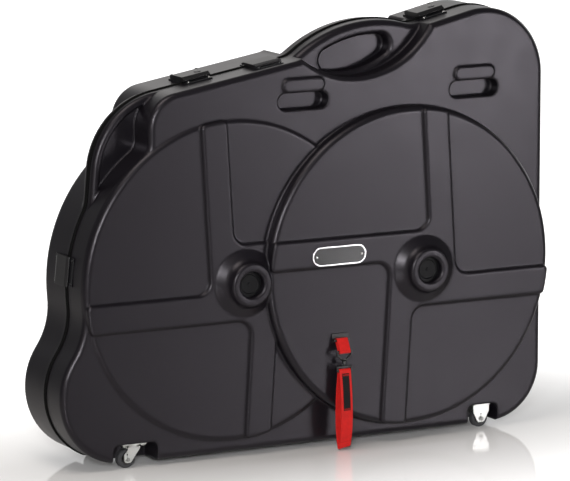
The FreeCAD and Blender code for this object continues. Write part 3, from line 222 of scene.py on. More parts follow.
def new_material(name, rgb, **values):
    """A material with a Principled shader whose constant values are set on its sockets."""
    material = bpy.data.materials.new(name)
    material.use_nodes = True
    tree = material.node_tree
    shader = tree.nodes["Principled BSDF"]
    shader.inputs["Base Color"].default_value = (*rgb, 1)
    for socket, value in values.items():
        shader.inputs[socket.replace("_", " ")].default_value = value
    return material, tree, shader


def thermoformed_abs():
    """Satin black ABS sheet, drawn over a mould."""
    # A wide, faintly violet sheen from the satin skin, broken by a fine grain, with every edge drawn round.
    # The real grain is under 1 mm and wouldn't show, so it is drawn at the coarser set spacing.
    settings = bpy.context.scene.case_shell
    material, tree, shader = new_material("satin_thermoformed_abs", settings.sheet_colour, IOR=1.54,
                                          Specular_IOR_Level=0.3, Specular_Tint=(0.97, 0.92, 1, 1))
    place = node(tree, "TexCoord").outputs["Object"]
    cloud = node(tree, "TexNoise", {"Vector": place, "Scale": 1 / (60 * MM), "Detail": 3.0})
    gloss = node(tree, "MapRange", {"Value": cloud.outputs["Fac"], "To Min": 0.29, "To Max": 0.37})
    tree.links.new(gloss.outputs["Result"], shader.inputs["Roughness"])
    dust = node(tree, "TexNoise", {"Vector": place, "Scale": 1 / (9 * MM), "Detail": 5.0})
    pale = [1.25 * part for part in settings.sheet_colour]
    tint = node(tree, "Mix", {"Factor": dust.outputs["Fac"], "A": (*settings.sheet_colour, 1),
                              "B": (*pale, 1)}, data_type="RGBA")
    tree.links.new(tint.outputs["Result"], shader.inputs["Base Color"])
    soft = node(tree, "Bevel", {"Radius": settings.edge_softness}, samples=8)
    grain = node(tree, "TexNoise", {"Vector": place, "Scale": 1 / settings.grain, "Detail": 2.0})
    bump = node(tree, "Bump", {"Height": grain.outputs["Fac"], "Strength": 0.12,
                               "Distance": 0.25 * MM, "Normal": soft.outputs["Normal"]})
    tree.links.new(bump.outputs["Normal"], shader.inputs["Normal"])
    return material


def moulded_rubber(name, code, grit, sheen_level):
    """Matt black rubber with a dusty bloom."""
    # Nearly no highlight; a little pale bloom keeps the edges readable.
    material, tree, shader = new_material(name, linear(code), Roughness=0.75, IOR=1.52,
                                          Specular_IOR_Level=sheen_level)
    place = node(tree, "TexCoord").outputs["Object"]
    bloom = node(tree, "TexNoise", {"Vector": place, "Scale": 1 / grit, "Detail": 4.0})
    pale = [2.2 * part for part in linear(code)]
    tint = node(tree, "Mix", {"Factor": bloom.outputs["Fac"], "A": (*linear(code), 1), "B": (*pale, 1)},
                data_type="RGBA")
    tree.links.new(tint.outputs["Result"], shader.inputs["Base Color"])
    bump = node(tree, "Bump", {"Height": bloom.outputs["Fac"], "Strength": 0.2, "Distance": 0.2 * MM})
    tree.links.new(bump.outputs["Normal"], shader.inputs["Normal"])
    return material


def moulded_nylon(name, code, roughness=0.42, sheen_level=0.5):
    """Black glass-filled nylon with a spark-eroded surface."""
    # A dull sheen with fine speckle, brighter on the rounded edges.
    material, tree, shader = new_material(name, linear(code), IOR=1.53, Specular_IOR_Level=sheen_level)
    place = node(tree, "TexCoord").outputs["Object"]
    speckle = node(tree, "TexNoise", {"Vector": place, "Scale": 1 / (1.2 * MM), "Detail": 3.0})
    gloss = node(tree, "MapRange", {"Value": speckle.outputs["Fac"], "To Min": roughness - 0.08,
                                    "To Max": roughness + 0.08})
    tree.links.new(gloss.outputs["Result"], shader.inputs["Roughness"])
    soft = node(tree, "Bevel", {"Radius": 0.8 * MM}, samples=6)
    bump = node(tree, "Bump", {"Height": speckle.outputs["Fac"], "Strength": 0.15, "Distance": 0.1 * MM,
                               "Normal": soft.outputs["Normal"]})
    tree.links.new(bump.outputs["Normal"], shader.inputs["Normal"])
    return material


def plated_steel(name, code, roughness, streak):
    """Pressed steel with a bright plated skin."""
    # A bright metal, clouded by the plating bath and faintly drawn along one direction.
    material, tree, shader = new_material(name, linear(code), Metallic=1.0)
    place = node(tree, "TexCoord").outputs["Object"]
    drawn = node(tree, "Mapping", {"Vector": place, "Scale": (0.12, 1, 1)})
    lines = node(tree, "TexNoise", {"Vector": drawn.outputs["Vector"], "Scale": 1 / streak, "Detail": 4.0})
    cloud = node(tree, "TexNoise", {"Vector": place, "Scale": 1 / (7 * MM), "Detail": 2.0})
    both = node(tree, "Math", {0: lines.outputs["Fac"], 1: cloud.outputs["Fac"]}, operation="MULTIPLY")
    gloss = node(tree, "MapRange", {"Value": both.outputs["Value"], "From Max": 0.5,
                                    "To Min": roughness - 0.1, "To Max": roughness + 0.12})
    tree.links.new(gloss.outputs["Result"], shader.inputs["Roughness"])
    soft = node(tree, "Bevel", {"Radius": 0.6 * MM}, samples=6)
    bump = node(tree, "Bump", {"Height": lines.outputs["Fac"], "Strength": 0.08, "Distance": 0.1 * MM,
                               "Normal": soft.outputs["Normal"]})
    tree.links.new(bump.outputs["Normal"], shader.inputs["Normal"])
    return material


def coated_steel():
    """Pressed steel under black powder coat."""
    # A fine orange peel that breaks the highlight into a soft band. Hinges and latches share it.
    name = "black_coated_steel"
    if name in bpy.data.materials:
        return bpy.data.materials[name]
    material, tree, shader = new_material(name, linear("17171A"), Roughness=0.38, IOR=1.5)
    place = node(tree, "TexCoord").outputs["Object"]
    peel = node(tree, "TexNoise", {"Vector": place, "Scale": 1 / (1.6 * MM), "Detail": 1.0})
    soft = node(tree, "Bevel", {"Radius": 0.6 * MM}, samples=6)
    bump = node(tree, "Bump", {"Height": peel.outputs["Fac"], "Strength": 0.2, "Distance": 0.1 * MM,
                               "Normal": soft.outputs["Normal"]})
    tree.links.new(bump.outputs["Normal"], shader.inputs["Normal"])
    return material


def lacquered_field():
    """Black lacquer on the badge's field."""
    # Deep black with a clear skin that mirrors the lights.
    settings = bpy.context.scene.case_badge
    material, tree, shader = new_material("black_lacquer", settings.field_colour, Coat_Weight=0.25,
                                          Coat_Roughness=0.1, IOR=1.5)
    place = node(tree, "TexCoord").outputs["Object"]
    flow = node(tree, "TexNoise", {"Vector": place, "Scale": 1 / (12 * MM), "Detail": 2.0})
    gloss = node(tree, "MapRange", {"Value": flow.outputs["Fac"], "To Min": 0.3, "To Max": 0.36})
    tree.links.new(gloss.outputs["Result"], shader.inputs["Roughness"])
    return material


def polyester_webbing(name, rgb, spacing, sheen):
    """Flat woven polyester webbing."""
    # Ribs along the strap crossed by picks, with painted shade darkening the hollows between the yarns, broken at
    # random by fuzz, and a soft sheen.
    # The real yarns are about 1 mm apart, so they are drawn at the coarser set spacing.
    material, tree, shader = new_material(name, rgb, Roughness=0.62, IOR=1.5, Sheen_Weight=sheen,
                                          Sheen_Roughness=0.4, Specular_IOR_Level=0.25)
    surface = node(tree, "TexCoord").outputs["UV"]
    waves = []
    for direction, pitch in (("X", spacing), ("Y", 0.8 * spacing)):
        waves.append(node(tree, "TexWave", {"Vector": surface, "Scale": math.pi / (10 * pitch),
                                            "Distortion": 0.0}, bands_direction=direction))
    yarn = node(tree, "Math", {0: waves[0].outputs["Fac"], 1: waves[1].outputs["Fac"]}, operation="MULTIPLY")
    fuzz = node(tree, "TexNoise", {"Vector": surface, "Scale": 1 / (14 * MM), "Detail": 4.0})
    lift = node(tree, "Math", {0: yarn.outputs["Value"], 1: fuzz.outputs["Fac"]}, operation="ADD")
    share = node(tree, "MapRange", {"Value": lift.outputs["Value"], "From Min": 0.3, "From Max": 1.5})
    # Painted shade: the low parts of the weave take a darker tone.
    painted_shade_tone = [0.55 * part for part in rgb]
    tint = node(tree, "Mix", {"Factor": share.outputs["Result"], "A": (*painted_shade_tone, 1), "B": (*rgb, 1)},
                data_type="RGBA")
    tree.links.new(tint.outputs["Result"], shader.inputs["Base Color"])
    bump = node(tree, "Bump", {"Height": yarn.outputs["Value"], "Strength": 0.35, "Distance": 0.35 * MM})
    tree.links.new(bump.outputs["Normal"], shader.inputs["Normal"])
    return material


def open_cell_foam():
    """Cut polyether foam."""
    # A dull skin full of small pores, painted dark as the shade inside them, with no highlight at all.
    settings = bpy.context.scene.case_foam
    material, tree, shader = new_material("open_cell_foam", settings.foam_colour, Roughness=0.95)
    place = node(tree, "TexCoord").outputs["Object"]
    cells = node(tree, "TexVoronoi", {"Vector": place, "Scale": 1 / settings.cell})
    # Painted shade: each pore is darkened towards its middle.
    pore_shade_mask = node(tree, "MapRange", {"Value": cells.outputs["Distance"], "From Max": 0.7})
    painted_shade_tone = [0.45 * part for part in settings.foam_colour]
    tint = node(tree, "Mix", {"Factor": pore_shade_mask.outputs["Result"], "A": (*painted_shade_tone, 1),
                              "B": (*settings.foam_colour, 1)}, data_type="RGBA")
    tree.links.new(tint.outputs["Result"], shader.inputs["Base Color"])
    bump = node(tree, "Bump", {"Height": cells.outputs["Distance"], "Strength": 0.5, "Distance": 0.8 * MM})
    tree.links.new(bump.outputs["Normal"], shader.inputs["Normal"])
    return material


def studio_floor():
    """White sweep of polished board."""
    # It mirrors the case faintly and takes the lamps' soft shadow; a painted shadow greys an oval round the case, and
    # further away it burns out to plain white.
    settings = bpy.context.scene.case_stage
    material, tree, shader = new_material("white_studio_sweep", settings.floor_colour, Roughness=0.06)
    place = node(tree, "TexCoord").outputs["Object"]
    # Painted shadow: the glow is held back in an oval round the case, so the floor greys there whatever the lamps do.
    oval = node(tree, "Mapping", {"Vector": place, "Scale": (settings.oval_share, 1, 1)})
    away = node(tree, "VectorMath", {0: oval.outputs["Vector"]}, operation="LENGTH")
    near = node(tree, "MapRange", {"Value": away.outputs["Value"], "From Min": settings.shadow_reach,
                                   "From Max": settings.shadow_end, "To Max": settings.near_glow})
    far = node(tree, "MapRange", {"Value": away.outputs["Value"], "From Min": settings.shadow_end,
                                  "From Max": settings.white_from, "To Max": 1 - settings.near_glow})
    glow_past_painted_shadow = node(tree, "Math", {0: near.outputs["Result"], 1: far.outputs["Result"]}, operation="ADD")
    path = node(tree, "LightPath")
    mirrored = node(tree, "Math", {0: path.outputs["Is Glossy Ray"], 1: path.outputs["Is Transmission Ray"]},
                    operation="MAXIMUM")
    seen = node(tree, "Math", {0: mirrored.outputs["Value"], 1: settings.mirrored_share,
                               2: path.outputs["Is Camera Ray"]}, operation="MULTIPLY_ADD")
    lift = node(tree, "Math", {0: seen.outputs["Value"], 1: glow_past_painted_shadow.outputs["Value"]}, operation="MULTIPLY")
    shader.inputs["Emission Color"].default_value = (1, 1, 1, 1)
    tree.links.new(lift.outputs["Value"], shader.inputs["Emission Strength"])
    return material


def studio_world():
    """Light all round, with a pale backdrop behind the case."""
    # Warm fill on every surface, plain white to the camera, and in reflections a dim room with the backdrop.
    settings = bpy.context.scene.case_stage
    world = bpy.data.worlds.new("studio")
    world.use_nodes = True
    tree = world.node_tree
    sky = tree.nodes["Background"]
    path = node(tree, "LightPath")
    tone = node(tree, "Mix", {"Factor": path.outputs["Is Diffuse Ray"], "A": (1, 1, 1, 1),
                              "B": (*settings.fill_colour, 1)}, data_type="RGBA")
    tree.links.new(tone.outputs["Result"], sky.inputs["Color"])
    behind = (math.sin(settings.backdrop_turn), math.cos(settings.backdrop_turn), 0)
    heading = node(tree, "VectorMath", {0: node(tree, "TexCoord").outputs["Generated"], 1: behind},
                   operation="DOT_PRODUCT")
    wall = node(tree, "MapRange", {"Value": heading.outputs["Value"], "From Min": 0.65, "From Max": 0.9,
                                   "To Min": settings.room_glow, "To Max": settings.backdrop_glow})
    glow = node(tree, "MapRange", {"Value": path.outputs["Is Glossy Ray"], "To Min": settings.fill_strength,
                                   "To Max": wall.outputs["Result"]})
    sight = node(tree, "Math", {0: path.outputs["Is Camera Ray"], 1: glow.outputs["Result"]}, operation="MAXIMUM")
    tree.links.new(sight.outputs["Value"], sky.inputs["Strength"])
    return world


def dress(material, *names):
    """Give CAD nodes a material in place of the one they were packed with."""
    for name in names:
        NODES[name].data.materials.clear()
        NODES[name].data.materials.append(material)


# Modelling

def start(name, primitive, **settings):
    """Add one primitive, alone in the selection, and name it."""
    bpy.ops.object.select_all(action="DESELECT")
    primitive(**settings)
    piece = bpy.context.active_object
    piece.name = name
    piece.data.name = name
    return piece


def copy_node(node_name, name):
    """A free copy of a CAD node with a mesh of its own, as a start for a softer piece."""
    piece = NODES[node_name].copy()
    piece.data = NODES[node_name].data.copy()
    bpy.context.scene.collection.objects.link(piece)
    piece.parent = None
    piece.matrix_world = Matrix.Identity(4)
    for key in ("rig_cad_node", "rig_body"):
        del piece[key]
    piece.name = name
    piece.data.name = name
    return piece


def settle(piece):
    """Move a piece's place into its mesh."""
    alone(piece)
    bpy.ops.object.transform_apply(location=True, rotation=True, scale=True)


def close_edit():
    """Go back to object mode."""
    if bpy.context.mode != "OBJECT":
        bpy.ops.object.mode_set(mode="OBJECT")


def alone(piece):
    """Make a piece the only one selected, and the active one."""
    close_edit()
    bpy.ops.object.select_all(action="DESELECT")
    piece.select_set(True)
    bpy.context.view_layer.objects.active = piece


def edit(piece, mode="FACE"):
    """Open a piece, alone in the selection, in edit mode with nothing in it selected."""
    alone(piece)
    bpy.ops.object.mode_set(mode="EDIT")
    bpy.ops.mesh.select_mode(type=mode)
    bpy.ops.mesh.select_all(action="DESELECT")


def pick(piece, mode, chosen):
    """Open a piece with the faces, edges or vertices selected that a test picks."""
    edit(piece, mode)
    close_edit()
    items = {"FACE": piece.data.polygons, "EDGE": piece.data.edges, "VERT": piece.data.vertices}[mode]
    for item in items:
        item.select = chosen(item)
    bpy.ops.object.mode_set(mode="EDIT")


def add_modifier(piece, kind, **settings):
    """Add a modifier and apply it at once."""
    modifier = piece.modifiers.new(kind.title(), kind)
    for name, value in settings.items():
        setattr(modifier, name, value)
    bpy.context.view_layer.objects.active = piece
    bpy.ops.object.modifier_apply(modifier=modifier.name)


def tidy_normals(piece):
    """Merge doubled points and turn every face outwards."""
    edit(piece)
    bpy.ops.mesh.select_all(action="SELECT")
    bpy.ops.mesh.remove_doubles(threshold=1e-6)
    bpy.ops.mesh.normals_make_consistent(inside=False)
    close_edit()


def finish_piece(piece, material, body):
    """Smooth a piece, give it its material and let it ride on a body."""
    alone(piece)
    bpy.ops.object.shade_smooth_by_angle(angle=math.radians(35))
    piece.data.materials.clear()
    piece.data.materials.append(material)
    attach(piece, body)
    return piece


def spread(name, template, places):
    """One object that holds a copy of a template mesh at each place; the template is removed."""
    copies = []
    for place in places:
        copy = template.copy()
        copy.data = template.data.copy()
        bpy.context.scene.collection.objects.link(copy)
        copy.data.transform(place)
        copies.append(copy)
    bpy.data.objects.remove(template)
    bpy.ops.object.select_all(action="DESELECT")
    for copy in copies:
        copy.select_set(True)
    bpy.context.view_layer.objects.active = copies[0]
    if len(copies) > 1:
        bpy.ops.object.join()
    whole = bpy.context.active_object
    whole.name = name
    whole.data.name = name
    return whole


def facing(point, outward, along):
    """The place of a thing that stands on a surface at a point."""
    across = outward.cross(along).normalized()
    return Matrix.Translation(point) @ Matrix((along, across, outward)).transposed().to_4x4()


def on_surface(name, above, outward):
    """Where a line from a point, against the outward direction, first meets a CAD node."""
    found, place, _, _ = NODES[name].ray_cast(above, -outward)
    if not found:
        raise RuntimeError(f"{name} has no surface there")
    return place


def rivet_head():
    """A domed rivet head with a flat rim under it."""
    settings = bpy.context.scene.case_fastener
    radius = settings.rivet_radius
    piece = start("rivet", bpy.ops.mesh.primitive_uv_sphere_add, segments=24, ring_count=12, radius=radius)
    edit(piece)
    bpy.ops.mesh.select_all(action="SELECT")
    bpy.ops.mesh.bisect(plane_co=(0, 0, 0), plane_no=(0, 0, 1), clear_inner=True, use_fill=True)
    bpy.ops.mesh.select_all(action="SELECT")
    bpy.ops.transform.resize(value=(1, 1, settings.rivet_rise / radius))
    pick(piece, "FACE", lambda face: face.normal.z < -0.9)
    bpy.ops.mesh.extrude_region_move(TRANSFORM_OT_translate={"value": (0, 0, -0.5 * MM)})
    close_edit()
    tidy_normals(piece)
    return piece


def screw_head():
    """A pan head with a cross recess."""
    settings = bpy.context.scene.case_fastener
    radius = settings.screw_radius
    rise = 0.6 * radius
    piece = start("screw", bpy.ops.mesh.primitive_cylinder_add, vertices=32, radius=radius, depth=rise,
                  location=(0, 0, rise / 2))
    settle(piece)
    pick(piece, "EDGE", lambda edge: all(piece.data.vertices[v].co.z > 0.9 * rise for v in edge.vertices))
    bpy.ops.mesh.bevel(offset=0.4 * rise, segments=3)
    close_edit()
    for turn in (0, math.pi / 2):
        slot = start("cross", bpy.ops.mesh.primitive_cube_add, size=1, location=(0, 0, rise),
                     rotation=(0, 0, turn), scale=(1.1 * radius, 0.26 * radius, 0.9 * rise))
        settle(slot)
        add_modifier(piece, "BOOLEAN", object=slot, operation="DIFFERENCE", solver="EXACT")
        bpy.data.objects.remove(slot)
    return piece


def bolt_head():
    """A hexagon head on a round washer."""
    radius = bpy.context.scene.case_fastener.bolt_radius
    rise = 0.65 * radius
    piece = start("bolt", bpy.ops.mesh.primitive_cylinder_add, vertices=6, radius=radius, depth=rise,
                  location=(0, 0, rise / 2))
    settle(piece)
    pick(piece, "EDGE", lambda edge: all(piece.data.vertices[v].co.z > 0.9 * rise for v in edge.vertices))
    bpy.ops.mesh.bevel(offset=0.12 * radius, segments=2)
    close_edit()
    washer = start("washer", bpy.ops.mesh.primitive_cylinder_add, vertices=32, radius=1.35 * radius,
                   depth=0.2 * radius, location=(0, 0, 0.1 * radius))
    settle(washer)
    pick(washer, "EDGE", lambda edge: all(washer.data.vertices[v].co.z > 0 for v in edge.vertices))
    bpy.ops.mesh.bevel(offset=0.06 * radius, segments=2)
    close_edit()
    piece.data.transform(Matrix.Translation((0, 0, 0.2 * radius)))
    bpy.ops.object.select_all(action="DESELECT")
    washer.select_set(True)
    piece.select_set(True)
    bpy.context.view_layer.objects.active = piece
    bpy.ops.object.join()
    return piece


def nut_head():
    """A hexagon nut with the axle's end standing out of it."""
    radius = bpy.context.scene.case_fastener.bolt_radius
    piece = start("nut", bpy.ops.mesh.primitive_cylinder_add, vertices=6, radius=radius, depth=0.7 * radius)
    settle(piece)
    pick(piece, "FACE", lambda face: face.normal.z > 0.9)
    bpy.ops.mesh.inset(thickness=0.38 * radius)
    bpy.ops.mesh.extrude_region_move(TRANSFORM_OT_translate={"value": (0, 0, 0.25 * radius)})
    bpy.ops.mesh.inset(thickness=0.06 * radius)
    bpy.ops.transform.translate(value=(0, 0, 0.06 * radius))
    close_edit()
    return piece


def bowed_side(reach, tip, bow):
    """Radius of the arc that bows out between two tips."""
    return (bow * bow - tip * tip + reach * reach) / (2 * (bow - tip))


def belt_route(first, last, tip, bow, steps=12):
    """The closed middle line of a strap that goes round two bars and bows out between them, as (y, z)."""
    reach = (last - first).length / 2
    along = (last - first).normalized()
    across = Vector((-along.y, along.x))
    middle = (first + last) / 2
    side = bowed_side(reach, tip, bow)
    lean = math.asin(reach / (side - tip))
    half = []
    for step in range(steps + 1):
        turn = (2 * step / steps - 1) * (math.pi / 2 - lean)
        half.append((reach + tip * math.cos(turn), tip * math.sin(turn)))
    for step in range(1, steps):
        turn = math.pi / 2 + (2 * step / steps - 1) * lean
        half.append((side * math.cos(turn), bow - side + side * math.sin(turn)))
    ring = half + [(-u, -v) for u, v in half] + half[:1]
    return [middle + along * u + across * v for u, v in ring]


def distances(route):
    """How far along a route each of its points lies."""
    gone = [0.0]
    for one, two in zip(route, route[1:]):
        gone.append(gone[-1] + (two - one).length)
    return gone


def ribbon(name, route, middle, width, thickness):
    """Flat webbing along a route of (y, z) points: a grid laid row by row, thickened and rounded."""
    rows = len(route) - 1
    gone = distances(route)
    piece = start(name, bpy.ops.mesh.primitive_grid_add, x_subdivisions=8, y_subdivisions=rows, size=1)
    spots = []
    for point in piece.data.vertices:
        row = round((point.co.y + 0.5) * rows)
        offset = point.co.x * width
        spots.append((offset, gone[row]))
        point.co = (middle + offset, *route[row])
    for loop in piece.data.loops:
        piece.data.uv_layers.active.data[loop.index].uv = spots[loop.vertex_index]
    tidy_normals(piece)
    add_modifier(piece, "SOLIDIFY", thickness=thickness, offset=0)
    add_modifier(piece, "BEVEL", width=0.3 * thickness, segments=2, limit_method="ANGLE")
    return piece


def stitches(name, spots, along, size):
    """Rows of short thread stitches, each a rounded bar that lies on (place, outward) spots."""
    thread = start("stitch", bpy.ops.mesh.primitive_cylinder_add, vertices=8, radius=0.16 * size, depth=size,
                   rotation=(0, math.pi / 2, 0))
    settle(thread)
    pick(thread, "FACE", lambda face: abs(face.normal.x) > 0.9)
    bpy.ops.mesh.inset(thickness=0.08 * size)
    bpy.ops.transform.resize(value=(1.2, 1, 1))
    close_edit()
    return spread(name, thread, [facing(place, outward, along) for place, outward in spots])


# Pieces

class CASE_OT_shells(bpy.types.Operator):
    """Finish the two half shells, the hub inserts and the rubber seal between the halves"""
    bl_idname = "case.shells"
    bl_label = "Shells and seal"

    @staticmethod
    def seam_bead(settings):
        """A bead of even thickness between the rims: the front rim drawn back to the other one and swollen."""
        bead = copy_node("front_shell", "seam_bead")
        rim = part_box("front_shell")[1].y
        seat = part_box("back_shell")[0].y
        tidy_normals(bead)
        pick(bead, "FACE", lambda face: face.normal.y < 0.99 or face.center.y < rim - LEVEL)
        bpy.ops.mesh.delete(type="FACE")
        bpy.ops.mesh.select_all(action="SELECT")
        bpy.ops.transform.translate(value=(0, settings.seal_clearance, 0))
        depth = seat - rim - settings.seal_clearance
        done = 0
        for share in (*settings.BEAD, 1):
            bpy.ops.mesh.extrude_region_move(TRANSFORM_OT_translate={"value": (0, (share - done) * depth, 0)})
            done = share
        close_edit()
        tidy_normals(bead)
        heart = Vector((0, 0, settings.heart_height))
        for share, swell in settings.BEAD.items():
            row = rim + settings.seal_clearance + share * depth
            pick(bead, "VERT", lambda point: abs(point.co.y - row) < LEVEL
                 and point.co.z > settings.flush_height and point.normal.dot(point.co - heart) > 0)
            bpy.ops.transform.shrink_fatten(value=swell * settings.seal_proud)
        close_edit()
        return bead

    def execute(self, context):
        sheet = thermoformed_abs()
        dress(sheet, "front_shell", "back_shell")
        bead = self.seam_bead(context.scene.case_shell)
        finish_piece(bead, moulded_rubber("black_seal_rubber", "030303", 6 * MM, 0.1), BODY_OF["seam_seal"])
        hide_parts("seam_seal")
        # The inserts are darker than the nylon alone: painted shade for the recess they sit in.
        dress(moulded_nylon("satin_insert_nylon", "08080A", 0.5, 0.16), "left_hub_insert", "right_hub_insert")
        return {"FINISHED"}


class CASE_OT_foam(bpy.types.Operator):
    """Line the case with soft-edged foam pads in place of their plain solids"""
    bl_idname = "case.foam"
    bl_label = "Foam lining"

    def execute(self, context):
        settings = context.scene.case_foam
        foam = open_cell_foam()
        for name in ("right_wheel_pad", "left_wheel_pad", "back_foam_liner"):
            piece = copy_node(name, f"{name}_foam")
            tidy_normals(piece)
            add_modifier(piece, "REMESH", mode="VOXEL", voxel_size=settings.remesh)
            add_modifier(piece, "SMOOTH", factor=0.5, iterations=settings.rounding)
            finish_piece(piece, foam, BODY_OF[name])
            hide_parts(name)
        return {"FINISHED"}


class CASE_OT_hinges(bpy.types.Operator):
    """Finish the hinges and screw their leaves to the shells"""
    bl_idname = "case.hinges"
    bl_label = "Hinges"

    def execute(self, context):
        steel = coated_steel()
        bright = plated_steel("bright_pin_steel", "C9C9C6", 0.3, 1 * MM)
        screws = context.scene.case_fastener
        for side in ("left", "right"):
            dress(steel, f"{side}_hinge_back_leaf", f"{side}_hinge_front_leaf")
            dress(bright, f"{side}_hinge_pin")
            for half, hand in (("front", -1), ("back", 1)):
                leaf = f"{side}_hinge_{half}_leaf"
                low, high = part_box(leaf)
                free_edge = low.y if hand < 0 else high.y
                places = []
                for share in (-1, 0, 1):
                    below = Vector(((low.x + high.x) / 2 + share * (high.x - low.x) / 3,
                                    free_edge - hand * 3 * screws.screw_radius, low.z - RAY_START))
                    places.append(facing(on_surface(leaf, below, -Z), -Z, X))
                piece = spread(f"{side}_hinge_{half}_screws", screw_head(), places)
                finish_piece(piece, bright, f"{half}_half")
        return {"FINISHED"}


class CASE_OT_castors(bpy.types.Operator):
    """Finish the four castors"""
    bl_idname = "case.castors"
    bl_label = "Castors"

    def execute(self, context):
        zinc = plated_steel("bright_zinc_plate", "BDBEBB", 0.34, 1.5 * MM)
        tread = moulded_rubber("grey_tread_rubber", "2A2A2C", 4 * MM, 0.4)
        core = moulded_nylon("black_core_nylon", "0D0D0E")
        dull = plated_steel("dull_nut_steel", "8C8D8A", 0.42, 1 * MM)
        for half in ("front", "back"):
            dress(zinc, *[f"{half}_swivel_castor_{piece}" for piece in ("top_plate", "fork", "axle")])
            dress(zinc, *[f"{half}_rigid_castor_{piece}" for piece in ("bracket", "axle")])
            for kind in ("swivel", "rigid"):
                dress(tread, f"{half}_{kind}_castor_tyre")
                dress(core, f"{half}_{kind}_castor_wheel_core")
                axle = f"{half}_{kind}_castor_axle"
                low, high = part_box(axle)
                middle = (low + high) / 2
                places = [facing(Vector((middle.x, low.y, middle.z)), -Y, X),
                          facing(Vector((middle.x, high.y, middle.z)), Y, X)]
                nuts = spread(f"{axle}_nuts", nut_head(), places)
                finish_piece(nuts, dull, BODY_OF[axle])
            plate = f"{half}_swivel_castor_top_plate"
            low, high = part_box(plate)
            inset = 1.6 * context.scene.case_fastener.bolt_radius
            places = []
            for x in (low.x + inset, high.x - inset):
                for y in (low.y + inset, high.y - inset):
                    places.append(facing(on_surface(plate, Vector((x, y, low.z - RAY_START)), -Z), -Z, X))
            bolts = spread(f"{plate}_bolts", bolt_head(), places)
            finish_piece(bolts, zinc, f"{half}_half")
        return {"FINISHED"}


class CASE_OT_latches(bpy.types.Operator):
    """Finish the latches and rivet their keepers to the shells"""
    bl_idname = "case.latches"
    bl_label = "Latches"

    def execute(self, context):
        steel = coated_steel()
        nylon = moulded_nylon("black_lever_nylon", "0E0E10", 0.36)
        satin = moulded_nylon("satin_lever_nylon", "1A191B", 0.4)
        bright = plated_steel("bright_rivet_steel", "DADAD8", 0.22, 1 * MM)
        for name in LATCHES:
            dress(steel, f"{name}_latch_base", f"{name}_latch_pin", f"{name}_latch_keeper")
            dress(nylon if name in LOCKED_LATCHES else satin, f"{name}_latch_lever")
        dress(plated_steel("black_nickel", "3A3A3C", 0.3, 1 * MM), *[f"{name}_latch_lock" for name in LOCKED_LATCHES])
        trim = context.scene.case_fastener
        for name in LATCHES:
            pin = Vector(JOINTS[f"{name}_latch"]["pos_m"])
            along = Vector(JOINTS[f"{name}_latch"]["axis"])
            forward = -Y if pin.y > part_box("seam_seal")[0].y else Y
            outward = along.cross(forward)
            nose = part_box(f"{name}_latch_lever")
            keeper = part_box(f"{name}_latch_keeper")
            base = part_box(f"{name}_latch_base")
            if forward.y < 0:
                front, behind = (keeper[0].y + nose[0].y) / 2, base[1].y - trim.apron_inset
            else:
                front, behind = (keeper[1].y + nose[1].y) / 2, base[0].y + trim.apron_inset
            for part, reach, heads in (("keeper", front, rivet_head()), ("base", behind, screw_head())):
                places = []
                for hand in (-1, 1):
                    above = pin + along * hand * trim.latch_spread / 2 + outward * RAY_START
                    above.y = reach
                    spot = on_surface(f"{name}_latch_{part}", above, outward)
                    places.append(facing(spot, outward, along))
                piece = spread(f"{name}_{part}_fasteners", heads, places)
                finish = bright if part == "keeper" and name in LOCKED_LATCHES else steel
                finish_piece(piece, finish, BODY_OF[f"{name}_latch_{part}"])
        return {"FINISHED"}


class CASE_OT_badge(bpy.types.Operator):
    """Give the badge plate its bright border, bare black field and two rivets"""
    bl_idname = "case.badge"
    bl_label = "Badge"

    def execute(self, context):
        chrome = plated_steel("badge_chrome", "E2E2E2", 0.16, 2 * MM)
        dress(chrome, "badge_plate")
        low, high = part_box("badge_plate")
        middle = (low + high) / 2
        settings = context.scene.case_badge
        half_height = (high.z - low.z) / 2 - settings.border
        half_length = (high.x - low.x) / 2 - settings.border
        field = start("badge_field", bpy.ops.mesh.primitive_cylinder_add, vertices=64, radius=half_height,
                      depth=settings.field_thickness, rotation=(math.pi / 2, 0, 0),
                      location=(middle.x, low.y + settings.field_thickness, middle.z))
        settle(field)
        pick(field, "VERT", lambda point: point.co.x > middle.x)
        bpy.ops.transform.translate(value=(half_length - half_height, 0, 0))
        pick(field, "VERT", lambda point: point.co.x < middle.x)
        bpy.ops.transform.translate(value=(half_height - half_length, 0, 0))
        close_edit()
        finish_piece(field, lacquered_field(), "front_half")
        skin = low.y + settings.field_thickness / 2
        aside = half_length - settings.rivet_inset
        places = [facing(Vector((middle.x + hand * aside, skin, middle.z)), -Y, X) for hand in (-1, 1)]
        rivets = spread("badge_rivets", rivet_head(), places)
        finish_piece(rivets, chrome, "front_half")
        return {"FINISHED"}


